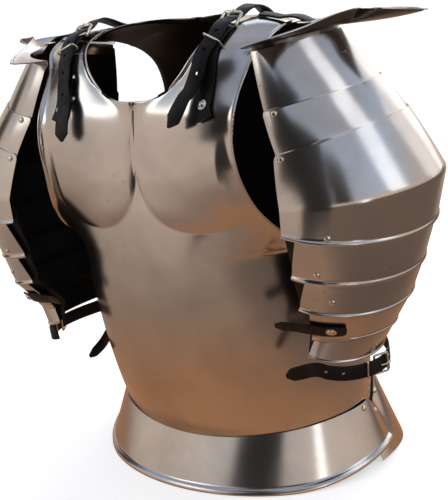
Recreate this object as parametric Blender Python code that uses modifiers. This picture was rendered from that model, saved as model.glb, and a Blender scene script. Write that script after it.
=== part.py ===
"""Steel cuirass: breastplate, backplate, flared fauld and two articulated pauldrons.

Metres, +Z up. The front faces -Y and the wearer's left is +X. The origin is the
centre of the overall box at the height of the flat rim that the armour stands on.
"""
from math import copysign, cos, pi, radians, sin

import bmesh
import bpy
from mathutils import Vector

# Driving sizes, in metres
BODY_HEIGHT = 0.500
HALF_WIDTH = 0.190
HALF_DEPTH = 0.130
PLATE = 0.0012
GAP = 0.0004
SIDE_LAP = 0.09
SEAM_Y = 0.45
WAIST_GAP = 0.0009
PEC_RISE = 0.012
RIM_WIDTH = 0.007
RIM_FLARE = 0.0028
STAND_Y = -0.053577

# The torso, from the waist in front over the shoulder to the waist behind.
# Each row runs from its inner point (centre line or neck) to its outer point
# (side seam or armhole). x is a share of HALF_WIDTH, y and the crown are shares
# of HALF_DEPTH, z is a share of BODY_HEIGHT, and the turn is in degrees.
# Columns: name, inner x, y, z, outer x, y, z, turn, crown.
TORSO = (
    ("waist edge", 0.000, -0.513, 0.101, 0.978, 0.481, 0.121, 90, 0.000),
    ("waist", 0.000, -0.525, 0.125, 0.981, 0.481, 0.147, 90, 0.000),
    ("low belly", 0.000, -0.658, 0.230, 0.993, 0.474, 0.248, 90, 0.000),
    ("belly", 0.000, -0.757, 0.359, 1.014, 0.467, 0.377, 90, 0.000),
    ("ribs", 0.000, -0.796, 0.488, 1.034, 0.460, 0.506, 90, 0.000),
    ("side top", 0.000, -0.800, 0.589, 1.041, 0.439, 0.616, 90, 0.000),
    ("armhole 1", 0.000, -0.796, 0.648, 1.034, 0.198, 0.622, 84, 0.000),
    ("armhole 2", 0.000, -0.786, 0.699, 1.007, -0.071, 0.633, 76, 0.000),
    ("armhole 3", 0.000, -0.771, 0.747, 0.964, -0.297, 0.659, 66, 0.000),
    ("armhole 4", 0.000, -0.750, 0.795, 0.901, -0.495, 0.703, 55, 0.000),
    ("armhole 5", 0.000, -0.729, 0.843, 0.835, -0.637, 0.758, 45, 0.000),
    ("armhole 6", 0.000, -0.701, 0.894, 0.789, -0.715, 0.828, 38, 0.000),
    ("armhole 7", 0.000, -0.665, 0.946, 0.779, -0.740, 0.902, 34, 0.014),
    ("neck pit", 0.000, -0.626, 0.995, 0.784, -0.686, 0.960, 32, 0.028),
    ("neck 1", 0.174, -0.559, 1.014, 0.787, -0.587, 1.003, 30, 0.042),
    ("neck 2", 0.313, -0.521, 1.049, 0.794, -0.453, 1.043, 30, 0.057),
    ("neck 3", 0.409, -0.448, 1.086, 0.818, -0.340, 1.076, 30, 0.064),
    ("shoulder front", 0.467, -0.311, 1.121, 0.872, -0.212, 1.108, 30, 0.064),
    ("shoulder top", 0.472, -0.106, 1.144, 0.910, -0.014, 1.128, 30, 0.057),
    ("shoulder rear", 0.445, 0.142, 1.154, 0.910, 0.212, 1.130, 30, 0.050),
    ("nape 2", 0.383, 0.340, 1.156, 0.881, 0.439, 1.122, 30, 0.042),
    ("nape 1", 0.242, 0.467, 1.156, 0.843, 0.672, 1.108, 30, 0.035),
    ("nape", 0.000, 0.524, 1.152, 0.813, 0.885, 1.087, 32, 0.028),
    ("back 1", 0.000, 0.793, 1.133, 0.799, 1.083, 1.058, 36, 0.021),
    ("back 2", 0.000, 1.076, 1.104, 0.794, 1.231, 1.018, 40, 0.014),
    ("back 3", 0.000, 1.302, 1.062, 0.799, 1.316, 0.957, 45, 0.000),
    ("back 4", 0.000, 1.451, 1.008, 0.818, 1.323, 0.887, 52, 0.000),
    ("back 5", 0.000, 1.536, 0.942, 0.852, 1.274, 0.813, 60, 0.000),
    ("back 6", 0.000, 1.585, 0.872, 0.901, 1.175, 0.743, 67, 0.000),
    ("back 7", 0.000, 1.614, 0.802, 0.959, 1.005, 0.681, 74, 0.000),
    ("back 8", 0.000, 1.628, 0.736, 1.012, 0.764, 0.640, 80, 0.000),
    ("rear side top", 0.000, 1.628, 0.644, 1.041, 0.453, 0.616, 90, 0.000),
    ("rear ribs", 0.000, 1.599, 0.506, 1.034, 0.460, 0.506, 90, 0.000),
    ("rear belly", 0.000, 1.550, 0.368, 1.014, 0.467, 0.377, 90, 0.000),
    ("rear low belly", 0.000, 1.507, 0.239, 0.993, 0.474, 0.248, 90, 0.000),
    ("rear waist", 0.000, 1.483, 0.158, 0.981, 0.481, 0.147, 90, 0.000),
    ("rear waist edge", 0.000, 1.479, 0.132, 0.978, 0.481, 0.121, 90, 0.000),
)
ROW = {row[0]: place for place, row in enumerate(TORSO)}
FRONT_NECK = ROW["neck pit"]
REAR_NECK = ROW["nape"]

# The pectoral relief: its centre and reach, as shares of HALF_WIDTH and BODY_HEIGHT
PEC_X = 0.436
PEC_Z = 0.865
PEC_INNER = 0.440
PEC_OUTER = 0.400
PEC_DROP = 0.171
PEC_SQUARE = 2.3
PEC_EDGE = 0.32

# The fauld: its rim and the heights of its top edge
FAULD_WIDTH = 0.2195
FAULD_DEPTH = 0.1628
FAULD_CENTRE = 0.0594
FAULD_FRONT_HEIGHT = 0.062
FAULD_SIDE_HEIGHT = 0.079
FAULD_REAR_HEIGHT = 0.092
FAULD_NOTCH = 0.067
FAULD_SIDE_LIFT = 0.0175
FAULD_REAR_SPREAD = 0.004
ROLL = 0.0030
STEP = PLATE + GAP
SLIDE = PLATE + 0.0010

# The left pauldron's sections, from the shoulder down.
# Columns: name, centre x and half-width as shares of HALF_WIDTH, half-length and
# centre y as shares of HALF_DEPTH, height at the ends and at the outside as
# shares of BODY_HEIGHT.
PAULDRON = (
    ("top", 0.853, 0.334, 0.555, 0.113, 1.089, 1.108),
    ("second", 0.975, 0.433, 0.690, 0.088, 0.967, 1.002),
    ("main", 1.092, 0.458, 0.784, 0.054, 0.879, 0.930),
    ("crease", 1.173, 0.599, 0.907, 0.028, 0.769, 0.787),
    ("ridge 1", 1.160, 0.538, 0.887, -0.002, 0.708, 0.674),
    ("ridge 2", 1.148, 0.464, 0.803, -0.020, 0.607, 0.578),
    ("ridge 3", 1.139, 0.390, 0.730, -0.053, 0.531, 0.501),
    ("ridge 4", 1.082, 0.345, 0.510, -0.063, 0.437, 0.435),
    ("ridge 5", 1.067, 0.255, 0.515, -0.086, 0.399, 0.370),
)
ARC_END = 100

STEEL = ("steel", (0.55, 0.54, 0.53, 1), 0.28, 1.0)
BLACK_LEATHER = ("black leather", (0.018, 0.018, 0.022, 1), 0.5, 0.0)
NICKEL = ("nickel", (0.62, 0.58, 0.47, 1), 0.25, 1.0)

# Leather and fittings
LEATHER = 0.0025
STRAP_WIDTH = 0.019
ARM_STRAP_WIDTH = 0.018
FRAME_WIRE = 0.0014
THIN_WIRE = 0.0010
RIVET_RADIUS = 0.0042
RIVET_HEIGHT = 0.0022
WASHER_RADIUS = 0.0062
WASHER_THICK = 0.0007


def make_material(spec):
    """Return the named Principled material, made once."""
    name, colour, roughness, metallic = spec
    found = bpy.data.materials.get(name)
    if found:
        return found
    material = bpy.data.materials.new(name)
    material.use_nodes = True
    shader = material.node_tree.nodes["Principled BSDF"]
    shader.inputs["Base Color"].default_value = colour
    shader.inputs["Roughness"].default_value = roughness
    shader.inputs["Metallic"].default_value = metallic
    material.diffuse_color = colour
    return material


def smooth_step(low, high, value):
    """Ease from 0 at low to 1 at high."""
    share = min(1.0, max(0.0, (value - low) / (high - low)))
    return share * share * (3 - 2 * share)


def through_rows(values, place, corners=()):
    """Read a smooth curve through evenly numbered values, with breaks at the corners."""
    last = len(values) - 1
    low = min(int(place), last - 1)
    share = place - low
    start, end = values[low], values[low + 1]
    has_before = low > 0 and low not in corners
    has_after = low + 1 < last and low + 1 not in corners
    slope_end = (values[low + 2] - start) / 2 if has_after else None
    slope_start = (end - values[low - 1]) / 2 if has_before else None
    if slope_start is None:
        slope_start = 1.5 * (end - start) - 0.5 * (slope_end if has_after else end - start)
    if slope_end is None:
        slope_end = 1.5 * (end - start) - 0.5 * slope_start
    square = share * share
    cube = square * share
    return (
        (2 * cube - 3 * square + 1) * start
        + (cube - 2 * square + share) * slope_start
        + (3 * square - 2 * cube) * end
        + (cube - square) * slope_end
    )


def torso_row(place):
    """Return the torso row at a place between the table's rows, in metres."""
    necks = (FRONT_NECK, REAR_NECK)
    inner = [through_rows([row[column] for row in TORSO], place, necks) for column in (1, 2, 3)]
    outer = [through_rows([row[column] for row in TORSO], place) for column in (4, 5, 6)]
    turn = radians(through_rows([row[7] for row in TORSO], place))
    crown = through_rows([row[8] for row in TORSO], place) * HALF_DEPTH
    inner_x = 0.0 if place <= FRONT_NECK or place >= REAR_NECK else max(0.0, inner[0])
    start = Vector((inner_x * HALF_WIDTH, inner[1] * HALF_DEPTH, inner[2] * BODY_HEIGHT))
    end = Vector((outer[0] * HALF_WIDTH, outer[1] * HALF_DEPTH, outer[2] * BODY_HEIGHT))
    return start, end, turn, crown


def bare_torso(across, place):
    """A point of the torso's smooth form, before relief and rims."""
    start, end, turn, _ = torso_row(place)
    angle = across * turn
    run = sin(angle) / sin(turn)
    depth = (1 - cos(angle)) / (1 - cos(turn))
    return Vector((
        start.x + (end.x - start.x) * run,
        start.y + (end.y - start.y) * depth,
        start.z + (end.z - start.z) * across,
    ))


def torso_normal(across, place):
    """The outward direction of the torso's smooth form."""
    step = 0.01
    last = len(TORSO) - 1
    side = bare_torso(across + step, place) - bare_torso(across - step, place)
    low, high = max(0, place - step), min(last, place + step)
    rise = bare_torso(across, high) - bare_torso(across, low)
    return side.cross(rise).normalized()


def pec_relief(point):
    """The pectoral muscle's height above the smooth chest."""
    if point.y > 0:
        return 0.0
    x, z = abs(point.x) / HALF_WIDTH, point.z / BODY_HEIGHT
    reach = PEC_INNER if x < PEC_X else PEC_OUTER
    side = abs(x - PEC_X) / reach
    below = max(0.0, PEC_Z - z) / PEC_DROP
    radius = (side ** PEC_SQUARE + below ** PEC_SQUARE) ** (1 / PEC_SQUARE)
    if radius >= 1:
        return 0.0
    rise = sin(pi / 2 * min(1.0, (1 - radius) / PEC_EDGE))
    fade = 1 - 0.85 * smooth_step(PEC_Z - 0.04, 1.08, z)
    return PEC_RISE * rise * fade


NECK_RIM = [
    bare_torso(0, FRONT_NECK + (REAR_NECK - FRONT_NECK) * step / 48)
    for step in range(49)
]
ARM_RIM = [
    bare_torso(1, ROW["side top"] + (ROW["rear side top"] - ROW["side top"]) * step / 72)
    for step in range(73)
]


def side_fade(point):
    """Fade the armhole's rim where the two plates lap at the side."""
    return smooth_step(0.012, 0.035, abs(point.y - SEAM_Y * HALF_DEPTH))


def edge_distance(point, rim):
    """The distance from a point to the nearest stretch of a rim."""
    best = 1.0
    for start, end in zip(rim, rim[1:]):
        run = end - start
        share = min(1.0, max(0.0, (point - start).dot(run) / run.length_squared))
        best = min(best, (point - start - run * share).length)
    return best


def torso_point(across, place, inset=0.0):
    """A point of the finished torso surface, set in by an amount."""
    point = bare_torso(across, place)
    crown = torso_row(place)[3] * sin(pi * min(1.0, max(0.0, across)))
    neck, arm = edge_distance(point, NECK_RIM), edge_distance(point, ARM_RIM)
    near = min(neck, arm)
    flare = RIM_FLARE * max(0.0, 1 - neck / RIM_WIDTH) ** 1.5
    flare += RIM_FLARE * max(0.0, 1 - arm / RIM_WIDTH) ** 1.5 * side_fade(point)
    relief = pec_relief(point) * smooth_step(0.0, 0.02, near)
    return point + torso_normal(across, place) * (crown + relief + flare - inset)


def remove_old_objects():
    """Empty the scene."""
    for old in list(bpy.data.objects):
        bpy.data.objects.remove(old)


remove_old_objects()
ARMOUR = bpy.data.collections.new("steel_cuirass")
bpy.context.scene.collection.children.link(ARMOUR)
SPOT = {}


def add_mount(name, spot, parent=None):
    """An empty that pieces ride on, at a spot in the armour's own coordinates."""
    mount = bpy.data.objects.new(name, None)
    ARMOUR.objects.link(mount)
    SPOT[name] = spot
    if parent:
        mount.parent = parent
        mount.location = spot - SPOT[parent.name]
    else:
        mount.location = spot + Vector((0, STAND_Y, 0))
    return mount


def ride(part, mount):
    """Fasten a piece modelled in the armour's coordinates to a mount."""
    ARMOUR.objects.link(part)
    part.parent = mount
    part.location = part.location - SPOT[mount.name]
    return part


STAND = add_mount("stand", Vector((0, 0, 0)))


def sheet(name, point_at, across, along, mount, mirror=False):
    """A steel shell over a grid of points, its outer face on the points."""
    vertices = [tuple(point_at(u, v)) for v in along for u in across]
    columns = len(across)
    faces = [
        (row * columns + place, row * columns + place + 1,
         (row + 1) * columns + place + 1, (row + 1) * columns + place)
        for row in range(len(along) - 1)
        for place in range(columns - 1)
    ]
    mesh = bpy.data.meshes.new(name)
    mesh.from_pydata(vertices, [], faces)
    mesh.materials.append(make_material(STEEL))
    mesh.shade_smooth()
    plate = bpy.data.objects.new(name, mesh)
    if mirror:
        fold = plate.modifiers.new("Mirror", "MIRROR")
        fold.merge_threshold = 0.0001
    solid = plate.modifiers.new("Solidify", "SOLIDIFY")
    solid.thickness = PLATE
    solid.offset = -1
    solid.use_even_offset = True
    return ride(plate, mount)


def spaced(start, end, steps):
    """Evenly spaced values with both ends."""
    return [start + (end - start) * step / steps for step in range(steps + 1)]


def turn_out(mesh):
    """Make a closed mesh's faces point out."""
    shape = bmesh.new()
    shape.from_mesh(mesh)
    bmesh.ops.recalc_face_normals(shape, faces=shape.faces)
    shape.to_mesh(mesh)
    shape.free()


def closed_loft(name, rings, material, mount):
    """A solid through rings of points, each ring a closed outline."""
    count = len(rings[0])
    vertices = [tuple(point) for ring in rings for point in ring]
    faces = [
        (row * count + place, row * count + (place + 1) % count,
         (row + 1) * count + (place + 1) % count, (row + 1) * count + place)
        for row in range(len(rings) - 1)
        for place in range(count)
    ]
    faces.append(tuple(reversed(range(count))))
    faces.append(tuple(range(len(vertices) - count, len(vertices))))
    mesh = bpy.data.meshes.new(name)
    mesh.from_pydata(vertices, [], faces)
    mesh.materials.append(make_material(material))
    turn_out(mesh)
    return ride(bpy.data.objects.new(name, mesh), mount)


# Breastplate
ACROSS = (0.0, 0.06, 0.15, 0.26, 0.37, 0.48, 0.59, 0.70, 0.81, 0.90, 0.96, 1.0)
SHOULDER_ROWS = [17.6, 18.0, 18.4]
FRONT_ROWS = (
    [0, 1, 2, 3, 4, 5] + spaced(5.7, 12.6, 10) + [13, 13.3] + spaced(14.1, 16.7, 3)
    + SHOULDER_ROWS
)
sheet("breastplate", torso_point, ACROSS, FRONT_ROWS, STAND, mirror=True)


# Backplate
def back_point(across, place):
    """The backplate lies inside the breastplate where the two overlap."""
    lap = smooth_step(ROW["rear side top"] - 0.6, ROW["rear side top"], place)
    return torso_point(across * (1 + SIDE_LAP * lap) / (1 + SIDE_LAP), place, STEP)


REAR_ROWS = (
    SHOULDER_ROWS + spaced(19.2, 21.4, 2) + [22, 22.4] + spaced(23.3, 31, 8)
    + [32, 33, 34, 35, 36]
)
REAR_ACROSS = ACROSS + (1.035, 1 + SIDE_LAP)
sheet("backplate", back_point, REAR_ACROSS, REAR_ROWS, STAND, mirror=True)


# Fauld
def torso_at(angle, height):
    """The torso's surface at an angle from the front and at a height."""
    turn = abs((angle + pi) % (2 * pi) - pi)
    front = turn <= pi / 2
    across = turn / (pi / 2) if front else (pi - turn) / (pi / 2)
    low, high = (0.0, 6.0) if front else (len(TORSO) - 1.0, ROW["rear side top"])
    for _ in range(30):
        middle = (low + high) / 2
        if bare_torso(across, middle).z < height:
            low = middle
        else:
            high = middle
    point = bare_torso(across, low)
    normal = torso_normal(across, low)
    if sin(angle) < 0:
        point.x, normal.x = -point.x, -normal.x
    return point, normal


def fauld_point(angle, top, share, out):
    """A point of the fauld, between its rim (share 0) and its top edge (share 1)."""
    waist, normal = torso_at(angle, top)
    side = smooth_step(0.35, 0.6, abs(sin(angle)))
    upper = waist + normal * (PLATE + WAIST_GAP + STEP * side)
    lower = Vector((FAULD_WIDTH * sin(angle), FAULD_CENTRE - FAULD_DEPTH * cos(angle), 0))
    flat = Vector((normal.x, normal.y, 0)).normalized()
    point = lower + (upper - lower) * share + flat * out
    point.z = top * share
    return point


def front_fauld_ring(degrees):
    """The front fauld's outline at an angle, with its rolled rim."""
    angle = radians(degrees)
    size = abs(degrees)
    lift = FAULD_SIDE_LIFT * smooth_step(38, 96, size)
    top = FAULD_FRONT_HEIGHT + (FAULD_SIDE_HEIGHT - FAULD_FRONT_HEIGHT) * sin(angle) ** 2
    top += (FAULD_NOTCH - top) * smooth_step(89, 97, size)
    outline = (
        (top, 0), (lift + 0.0075, 0), (lift + 0.0045, ROLL * 0.8), (lift + 0.0015, ROLL),
        (lift, ROLL * 0.6), (lift, -PLATE), (lift + 0.0040, -PLATE), (top, -PLATE),
    )
    return [fauld_point(angle, top, height / top, out) for height, out in outline]


def rear_fauld_ring(degrees):
    """The rear fauld's outline at an angle, inside the front one where they lap."""
    angle = radians(degrees)
    past = abs(abs(degrees) - 180)
    clear = 1 - smooth_step(66, 81, past)
    top = FAULD_REAR_HEIGHT + (FAULD_NOTCH - FAULD_REAR_HEIGHT) * smooth_step(70, 82, past)
    lift = 0.004 * smooth_step(72, 92, past)
    spread = clear * FAULD_REAR_SPREAD
    outline = (
        (top, -STEP), (lift, spread - STEP), (lift, spread - STEP - PLATE), (top, -STEP - PLATE),
    )
    return [fauld_point(angle, top, height / top, out) for height, out in outline]


SIDE_STATIONS = [84, 87, 90, 92.5, 95, 97]
FRONT_STATIONS = [-turn for turn in reversed(SIDE_STATIONS)] + spaced(-78, 78, 18) + SIDE_STATIONS
REAR_SIDE = SIDE_STATIONS + [99, 102, 106]
REAR_STATIONS = REAR_SIDE + spaced(112, 248, 16) + [360 - turn for turn in reversed(REAR_SIDE)]
closed_loft("front_fauld", [front_fauld_ring(turn) for turn in FRONT_STATIONS], STEEL, STAND)
closed_loft("rear_fauld", [rear_fauld_ring(turn) for turn in REAR_STATIONS], STEEL, STAND)


# Pauldrons
def section_point(level, degrees, out=0.0):
    """A point of the pauldron's form at a level between its sections."""
    low = min(int(level), len(PAULDRON) - 2)
    share = level - low
    values = [
        a + (b - a) * share
        for a, b in zip(PAULDRON[low][1:], PAULDRON[low + 1][1:])
    ]
    centre_x, half_x, half_y, centre_y, end_z, out_z = values
    angle = radians(degrees)
    bow = (cos(angle) - cos(radians(ARC_END))) / (1 - cos(radians(ARC_END)))
    return Vector((
        centre_x * HALF_WIDTH + (half_x * HALF_WIDTH + out) * cos(angle),
        centre_y * HALF_DEPTH + (half_y * HALF_DEPTH + out) * sin(angle),
        (end_z + (out_z - end_z) * bow) * BODY_HEIGHT,
    ))


def pauldron_plate(side, low, arcs, inset, hidden, ridge):
    """A plate's surface as a function of angle and level, between its own limits."""
    top_arc, low_arc = arcs

    def point_at(degrees, level):
        """A point of the plate's outer face."""
        out = -inset
        if ridge and level > low - RIDGE_SHARE:
            out += ridge * (level - low + RIDGE_SHARE) / RIDGE_SHARE
        out -= max(0.0, hidden - level) * HIDDEN_LEAN
        seen = max(level, hidden)
        if abs(degrees) > ARC_INNER:
            arc = top_arc + (low_arc - top_arc) * (seen - hidden) / (low - hidden)
            degrees = copysign(arc, degrees)
        point = section_point(seen, degrees, out)
        point.z += max(0.0, hidden - level) * HIDDEN_RISE
        return Vector((point.x * side, point.y, point.z))

    return point_at


RIDGE_SHARE = 0.12
HIDDEN_RISE = 0.05
HIDDEN_LEAN = 0.012
ARC_INNER = 85
RIDGE = 0.0022
# Columns: name, lower level, upper level, arc at the top and at the bottom in
# degrees, inset from the form, level above which the plate is hidden, ridge, mount.
PLATES = (
    ("top_plate", 1.16, 0.0, 97, 97, 2 * SLIDE, 0.0, 0.0, "stand"),
    ("second_plate", 2.14, 1.0, 98, 98, SLIDE, 1.0, 0.0, "second"),
    ("main_plate", 4.0, 2.0, 99, 99, 0.0, 2.0, RIDGE, "main"),
    ("lame_4", 5.0, 3.8, 90, 99, STEP, 4.0, RIDGE, "main"),
    ("lame_5", 6.0, 4.8, 88, 98, STEP, 5.0, RIDGE, "main"),
    ("lame_6", 7.0, 5.8, 88, 93, STEP, 6.0, RIDGE, "main"),
    ("lame_7", 8.0, 6.8, 91, 98, STEP, 7.0, RIDGE, "main"),
)
# The turning plates' pivots. Columns: name, level, angle, inset from the form.
PIVOTS = (("second", 1.13, 88, SLIDE), ("main", 2.12, 93, 0.0))
SIDES = ((1, "left"), (-1, "right"))
MOUNTS = {}
for side, hand in SIDES:
    holder = STAND
    MOUNTS[hand, "stand"] = STAND
    for piece, level, degrees, inset in PIVOTS:
        front, rear = section_point(level, -degrees, -inset), section_point(level, degrees, -inset)
        middle = (front + rear) / 2
        spot = Vector((middle.x * side, middle.y, middle.z))
        holder = add_mount(hand + "_" + piece + "_hinge", spot, holder)
        MOUNTS[hand, piece] = holder
    for piece, low, high, top_arc, low_arc, inset, hidden, ridge, group in PLATES:
        stations = [-top_arc] + spaced(-ARC_INNER, ARC_INNER, 12) + [top_arc]
        rows = {low, high, *[level for level in range(1, 8) if high < level < low]}
        if ridge:
            rows.add(low - RIDGE_SHARE)
        point_at = pauldron_plate(side, low, (top_arc, low_arc), inset, hidden, ridge)
        sheet(
            hand + "_" + piece, point_at, stations[::side], sorted(rows, reverse=True),
            MOUNTS[hand, group])


# Wings over the shoulders
# Columns: angle in degrees, the rim's x, y and z as shares of HALF_WIDTH,
# HALF_DEPTH and BODY_HEIGHT, and how far the belly sags in metres.
WING = (
    (-97, 0.901, -0.743, 1.108, 0.000),
    (-80, 0.968, -0.623, 1.115, 0.000),
    (-60, 1.046, -0.453, 1.121, 0.000),
    (-40, 1.114, -0.255, 1.128, 0.001),
    (-20, 1.186, -0.028, 1.139, 0.002),
    (0, 1.298, 0.184, 1.148, 0.004),
    (12, 1.453, 0.226, 1.143, 0.005),
    (24, 1.637, 0.510, 1.126, 0.004),
    (38, 1.500, 0.640, 1.131, 0.004),
    (56, 1.330, 0.780, 1.130, 0.004),
    (76, 1.150, 0.880, 1.125, 0.003),
    (97, 0.940, 0.930, 1.118, 0.002),
)
WING_INSET = 3 * SLIDE
WING_CLEAR = 0.0045


def wing_point(turn, share):
    """A point of the wing, from its root inside the top plate out to its rim."""
    degrees, rim_x, rim_y, rim_z, sag = [
        through_rows([row[column] for row in WING], turn) for column in range(5)
    ]
    foot = section_point(0.16, degrees, -WING_INSET)
    neck = section_point(0.0, degrees, -WING_INSET)
    neck.z += WING_CLEAR
    rim = Vector((rim_x * HALF_WIDTH, rim_y * HALF_DEPTH, rim_z * BODY_HEIGHT))
    if share <= -1:
        return foot
    if share < 0:
        return neck - Vector((0, 0, WING_CLEAR))
    belly = neck.lerp(rim, 0.55)
    belly.z = neck.z + (rim.z - neck.z) * 0.25 - sag
    lower, upper = neck.lerp(belly, share), belly.lerp(rim, share)
    return lower.lerp(upper, share)


for side, hand in SIDES:

    def handed_wing(turn, share):
        """The wing on this side."""
        point = wing_point(turn, share)
        return Vector((point.x * side, point.y, point.z))

    turns = spaced(0, len(WING) - 1, 16)[::side]
    sheet(hand + "_wing", handed_wing, turns, [-1.0, -0.5, 0.0, 0.33, 0.67, 1.0], STAND)


# Straps
def strap(name, route, side, mount):
    """A flat strap along a route of (point, normal, width) stations under its middle."""
    rings = []
    for place, (point, normal, width) in enumerate(route):
        before = route[max(0, place - 1)][0]
        after = route[min(len(route) - 1, place + 1)][0]
        across = (after - before).cross(normal).normalized() * width / 2
        lift = normal.normalized() * LEATHER
        corners = (point - across, point + across, point + across + lift, point - across + lift)
        rings.append([Vector((corner.x * side, corner.y, corner.z)) for corner in corners])
    return closed_loft(name, rings, BLACK_LEATHER, mount)


def wire(name, points, radius, side, mount, closed=True):
    """A bent nickel wire through corner points."""
    curve = bpy.data.curves.new(name, "CURVE")
    curve.dimensions = "3D"
    curve.bevel_depth = radius
    curve.bevel_resolution = 1
    curve.use_fill_caps = True
    line = curve.splines.new("POLY")
    line.points.add(len(points) - 1)
    for spot, point in zip(line.points, points):
        spot.co = (point.x * side, point.y, point.z, 1)
    line.use_cyclic_u = closed
    curve.materials.append(make_material(NICKEL))
    return ride(bpy.data.objects.new(name, curve), mount)


def dome_rivet(name, point, normal, side, mount, washer=0.0):
    """A domed rivet head standing on a surface, with a washer under it if it has one."""
    thick = WASHER_THICK if washer else 0.0
    profile = [
        (0, RIVET_HEIGHT + thick), (RIVET_RADIUS * 0.6, RIVET_HEIGHT * 0.8 + thick),
        (RIVET_RADIUS, thick),
    ]
    if washer:
        profile += [(washer, thick), (washer, 0)]
    profile.append((0, 0))
    mesh = bpy.data.meshes.new(name)
    mesh.from_pydata(
        [(x, 0, z) for x, z in profile], [(k, k + 1) for k in range(len(profile) - 1)], [])
    mesh.materials.append(make_material(NICKEL))
    mesh.shade_smooth()
    head = bpy.data.objects.new(name, mesh)
    turn = head.modifiers.new("Screw", "SCREW")
    turn.steps = 8
    turn.render_steps = 8
    turn.use_merge_vertices = True
    turn.merge_threshold = 0.00005
    facing = Vector((normal.x * side, normal.y, normal.z))
    head.rotation_mode = "QUATERNION"
    head.rotation_quaternion = facing.to_track_quat("Z", "Y")
    head.location = Vector((point.x * side, point.y, point.z)) + facing.normalized() * GAP
    return ride(head, mount)


def on_torso(across, place, lift, width=STRAP_WIDTH):
    """A strap's station over the torso's surface."""
    return torso_point(across, place, -lift), torso_normal(across, place), width


BUCKLE_ROW = 17.85
BUCKLE_ACROSS = 0.25
KEEPER_ROW = 16.62
KEEPER_ACROSS = 0.286
# The short strap on the chest, under the long one. Columns: across, row, lift.
CHEST_STRAP = (
    (0.735, 12.75, 0.0014), (0.71, 13.0, 0.0016), (0.677, 13.3, 0.0016), (0.63, 13.9, 0.0014),
    (0.57, 14.5, 0.0012), (0.48, 15.2, 0.0016), (KEEPER_ACROSS + 0.094, 15.9, 0.0026),
    (KEEPER_ACROSS + 0.014, 16.5, 0.0034), (KEEPER_ACROSS - 0.006, 16.9, 0.0034),
    (0.265, 17.2, 0.0030), (0.26, 17.38, 0.0026),
)
# The long strap, from the shoulder's rear to the keeper. Columns: across, row, lift.
SHOULDER_STRAP = (
    (0.50, 21.4, -0.0006), (0.49, 21.0, -0.0006), (0.46, 20.5, -0.0003), (0.42, 20.0, 0.0020),
    (0.38, 19.5, 0.0060), (0.34, 19.0, 0.0095), (0.30, 18.6, 0.0085), (0.265, 18.2, 0.0042),
    (0.25, 17.95, 0.0040), (0.25, 17.7, 0.0064), (0.255, 17.4, 0.0084), (0.27, 17.05, 0.0084),
    (KEEPER_ACROSS - 0.001, 16.75, 0.0074), (KEEPER_ACROSS + 0.001, 16.4, 0.0074),
)
# The long strap's loose end on each side. Columns: across, row, lift, width.
LOOSE_END = {
    1: ((KEEPER_ACROSS + 0.014, 15.9, 0.0082, 0.019), (0.37, 15.3, 0.0088, 0.019),
        (0.43, 14.6, 0.0098, 0.019), (0.487, 13.96, 0.0110, 0.019), (0.52, 13.4, 0.0120, 0.019),
        (0.53, 12.95, 0.0130, 0.0185), (0.50, 12.6, 0.0138, 0.017), (0.456, 12.27, 0.0145, 0.004)),
    -1: ((0.33, 15.9, 0.0082, 0.019), (0.38, 15.3, 0.0086, 0.019), (0.46, 14.8, 0.0085, 0.019),
         (0.54, 14.1, 0.0095, 0.019), (0.60, 13.1, 0.0110, 0.019), (0.615, 12.6, 0.0125, 0.0185),
         (0.615, 12.2, 0.0135, 0.017), (0.610, 11.94, 0.0140, 0.004)),
}


def loop_points(centre, along, normal, half_width, rear, front):
    """The corners of a wire loop: (distance along, height) at its rear and its front."""
    across = along.cross(normal).normalized() * half_width
    back = centre + along * rear[0] + normal * rear[1]
    fore = centre + along * front[0] + normal * front[1]
    return [back - across, back + across, fore + across, fore - across]


def flat_frame(spot, ahead, normal):
    """The run of a strap at a spot and the facing square to it."""
    along = (ahead - spot).normalized()
    return along, (normal - along * normal.dot(along)).normalized()


for side, hand in SIDES:
    strap(hand + "_chest_strap", [on_torso(*row) for row in CHEST_STRAP], side, STAND)
    route = [on_torso(*row) for row in SHOULDER_STRAP + LOOSE_END[side]]
    strap(hand + "_shoulder_strap", route, side, STAND)

    spot, normal, _ = on_torso(BUCKLE_ACROSS, BUCKLE_ROW, 0.0)
    along, normal = flat_frame(spot, on_torso(BUCKLE_ACROSS, BUCKLE_ROW - 0.4, 0.0)[0], normal)
    half = STRAP_WIDTH / 2 + 0.0022
    corners = loop_points(spot, along, normal, half, (-0.0075, 0.0098), (0.0085, 0.0034))
    wire(hand + "_shoulder_buckle", corners, FRAME_WIRE, side, STAND)
    prong = [
        spot + along * 0.0055 + normal * 0.0112, spot + normal * 0.0128,
        spot - along * 0.0092 + normal * 0.0126,
    ]
    wire(hand + "_shoulder_prong", prong, THIN_WIRE, side, STAND, closed=False)

    spot, normal, _ = on_torso(KEEPER_ACROSS, KEEPER_ROW, 0.0)
    along, normal = flat_frame(spot, on_torso(KEEPER_ACROSS, KEEPER_ROW - 0.4, 0.0)[0], normal)
    half = STRAP_WIDTH / 2 + 0.0030
    corners = loop_points(spot, along, normal, half, (0.0, 0.0016), (0.0, 0.0121))
    wire(hand + "_strap_keeper", corners, THIN_WIRE, side, STAND)

    spot, normal, _ = on_torso(0.677, 13.3, 0.0016 + LEATHER)
    dome_rivet(hand + "_chest_rivet", spot, normal, side, STAND, washer=WASHER_RADIUS)


# Pauldron fittings
FRONT_BAND = -94
REAR_BAND = 80
BAND_WIDTH = 0.020
BAND_EASE = 0.0030
BAND_INSET = STEP + PLATE + 2 * GAP
# The bands' stations at the ridges. Columns: level, extra inset, share of the width.
BAND = ((4, 0.0030, 1.0), (5, 0.0034, 1.0), (6, 0.0042, 0.85), (7, 0.0048, 0.75))
ARM_STRAP_DROP = 0.0135
STRAP_CLEAR = 0.0020
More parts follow.
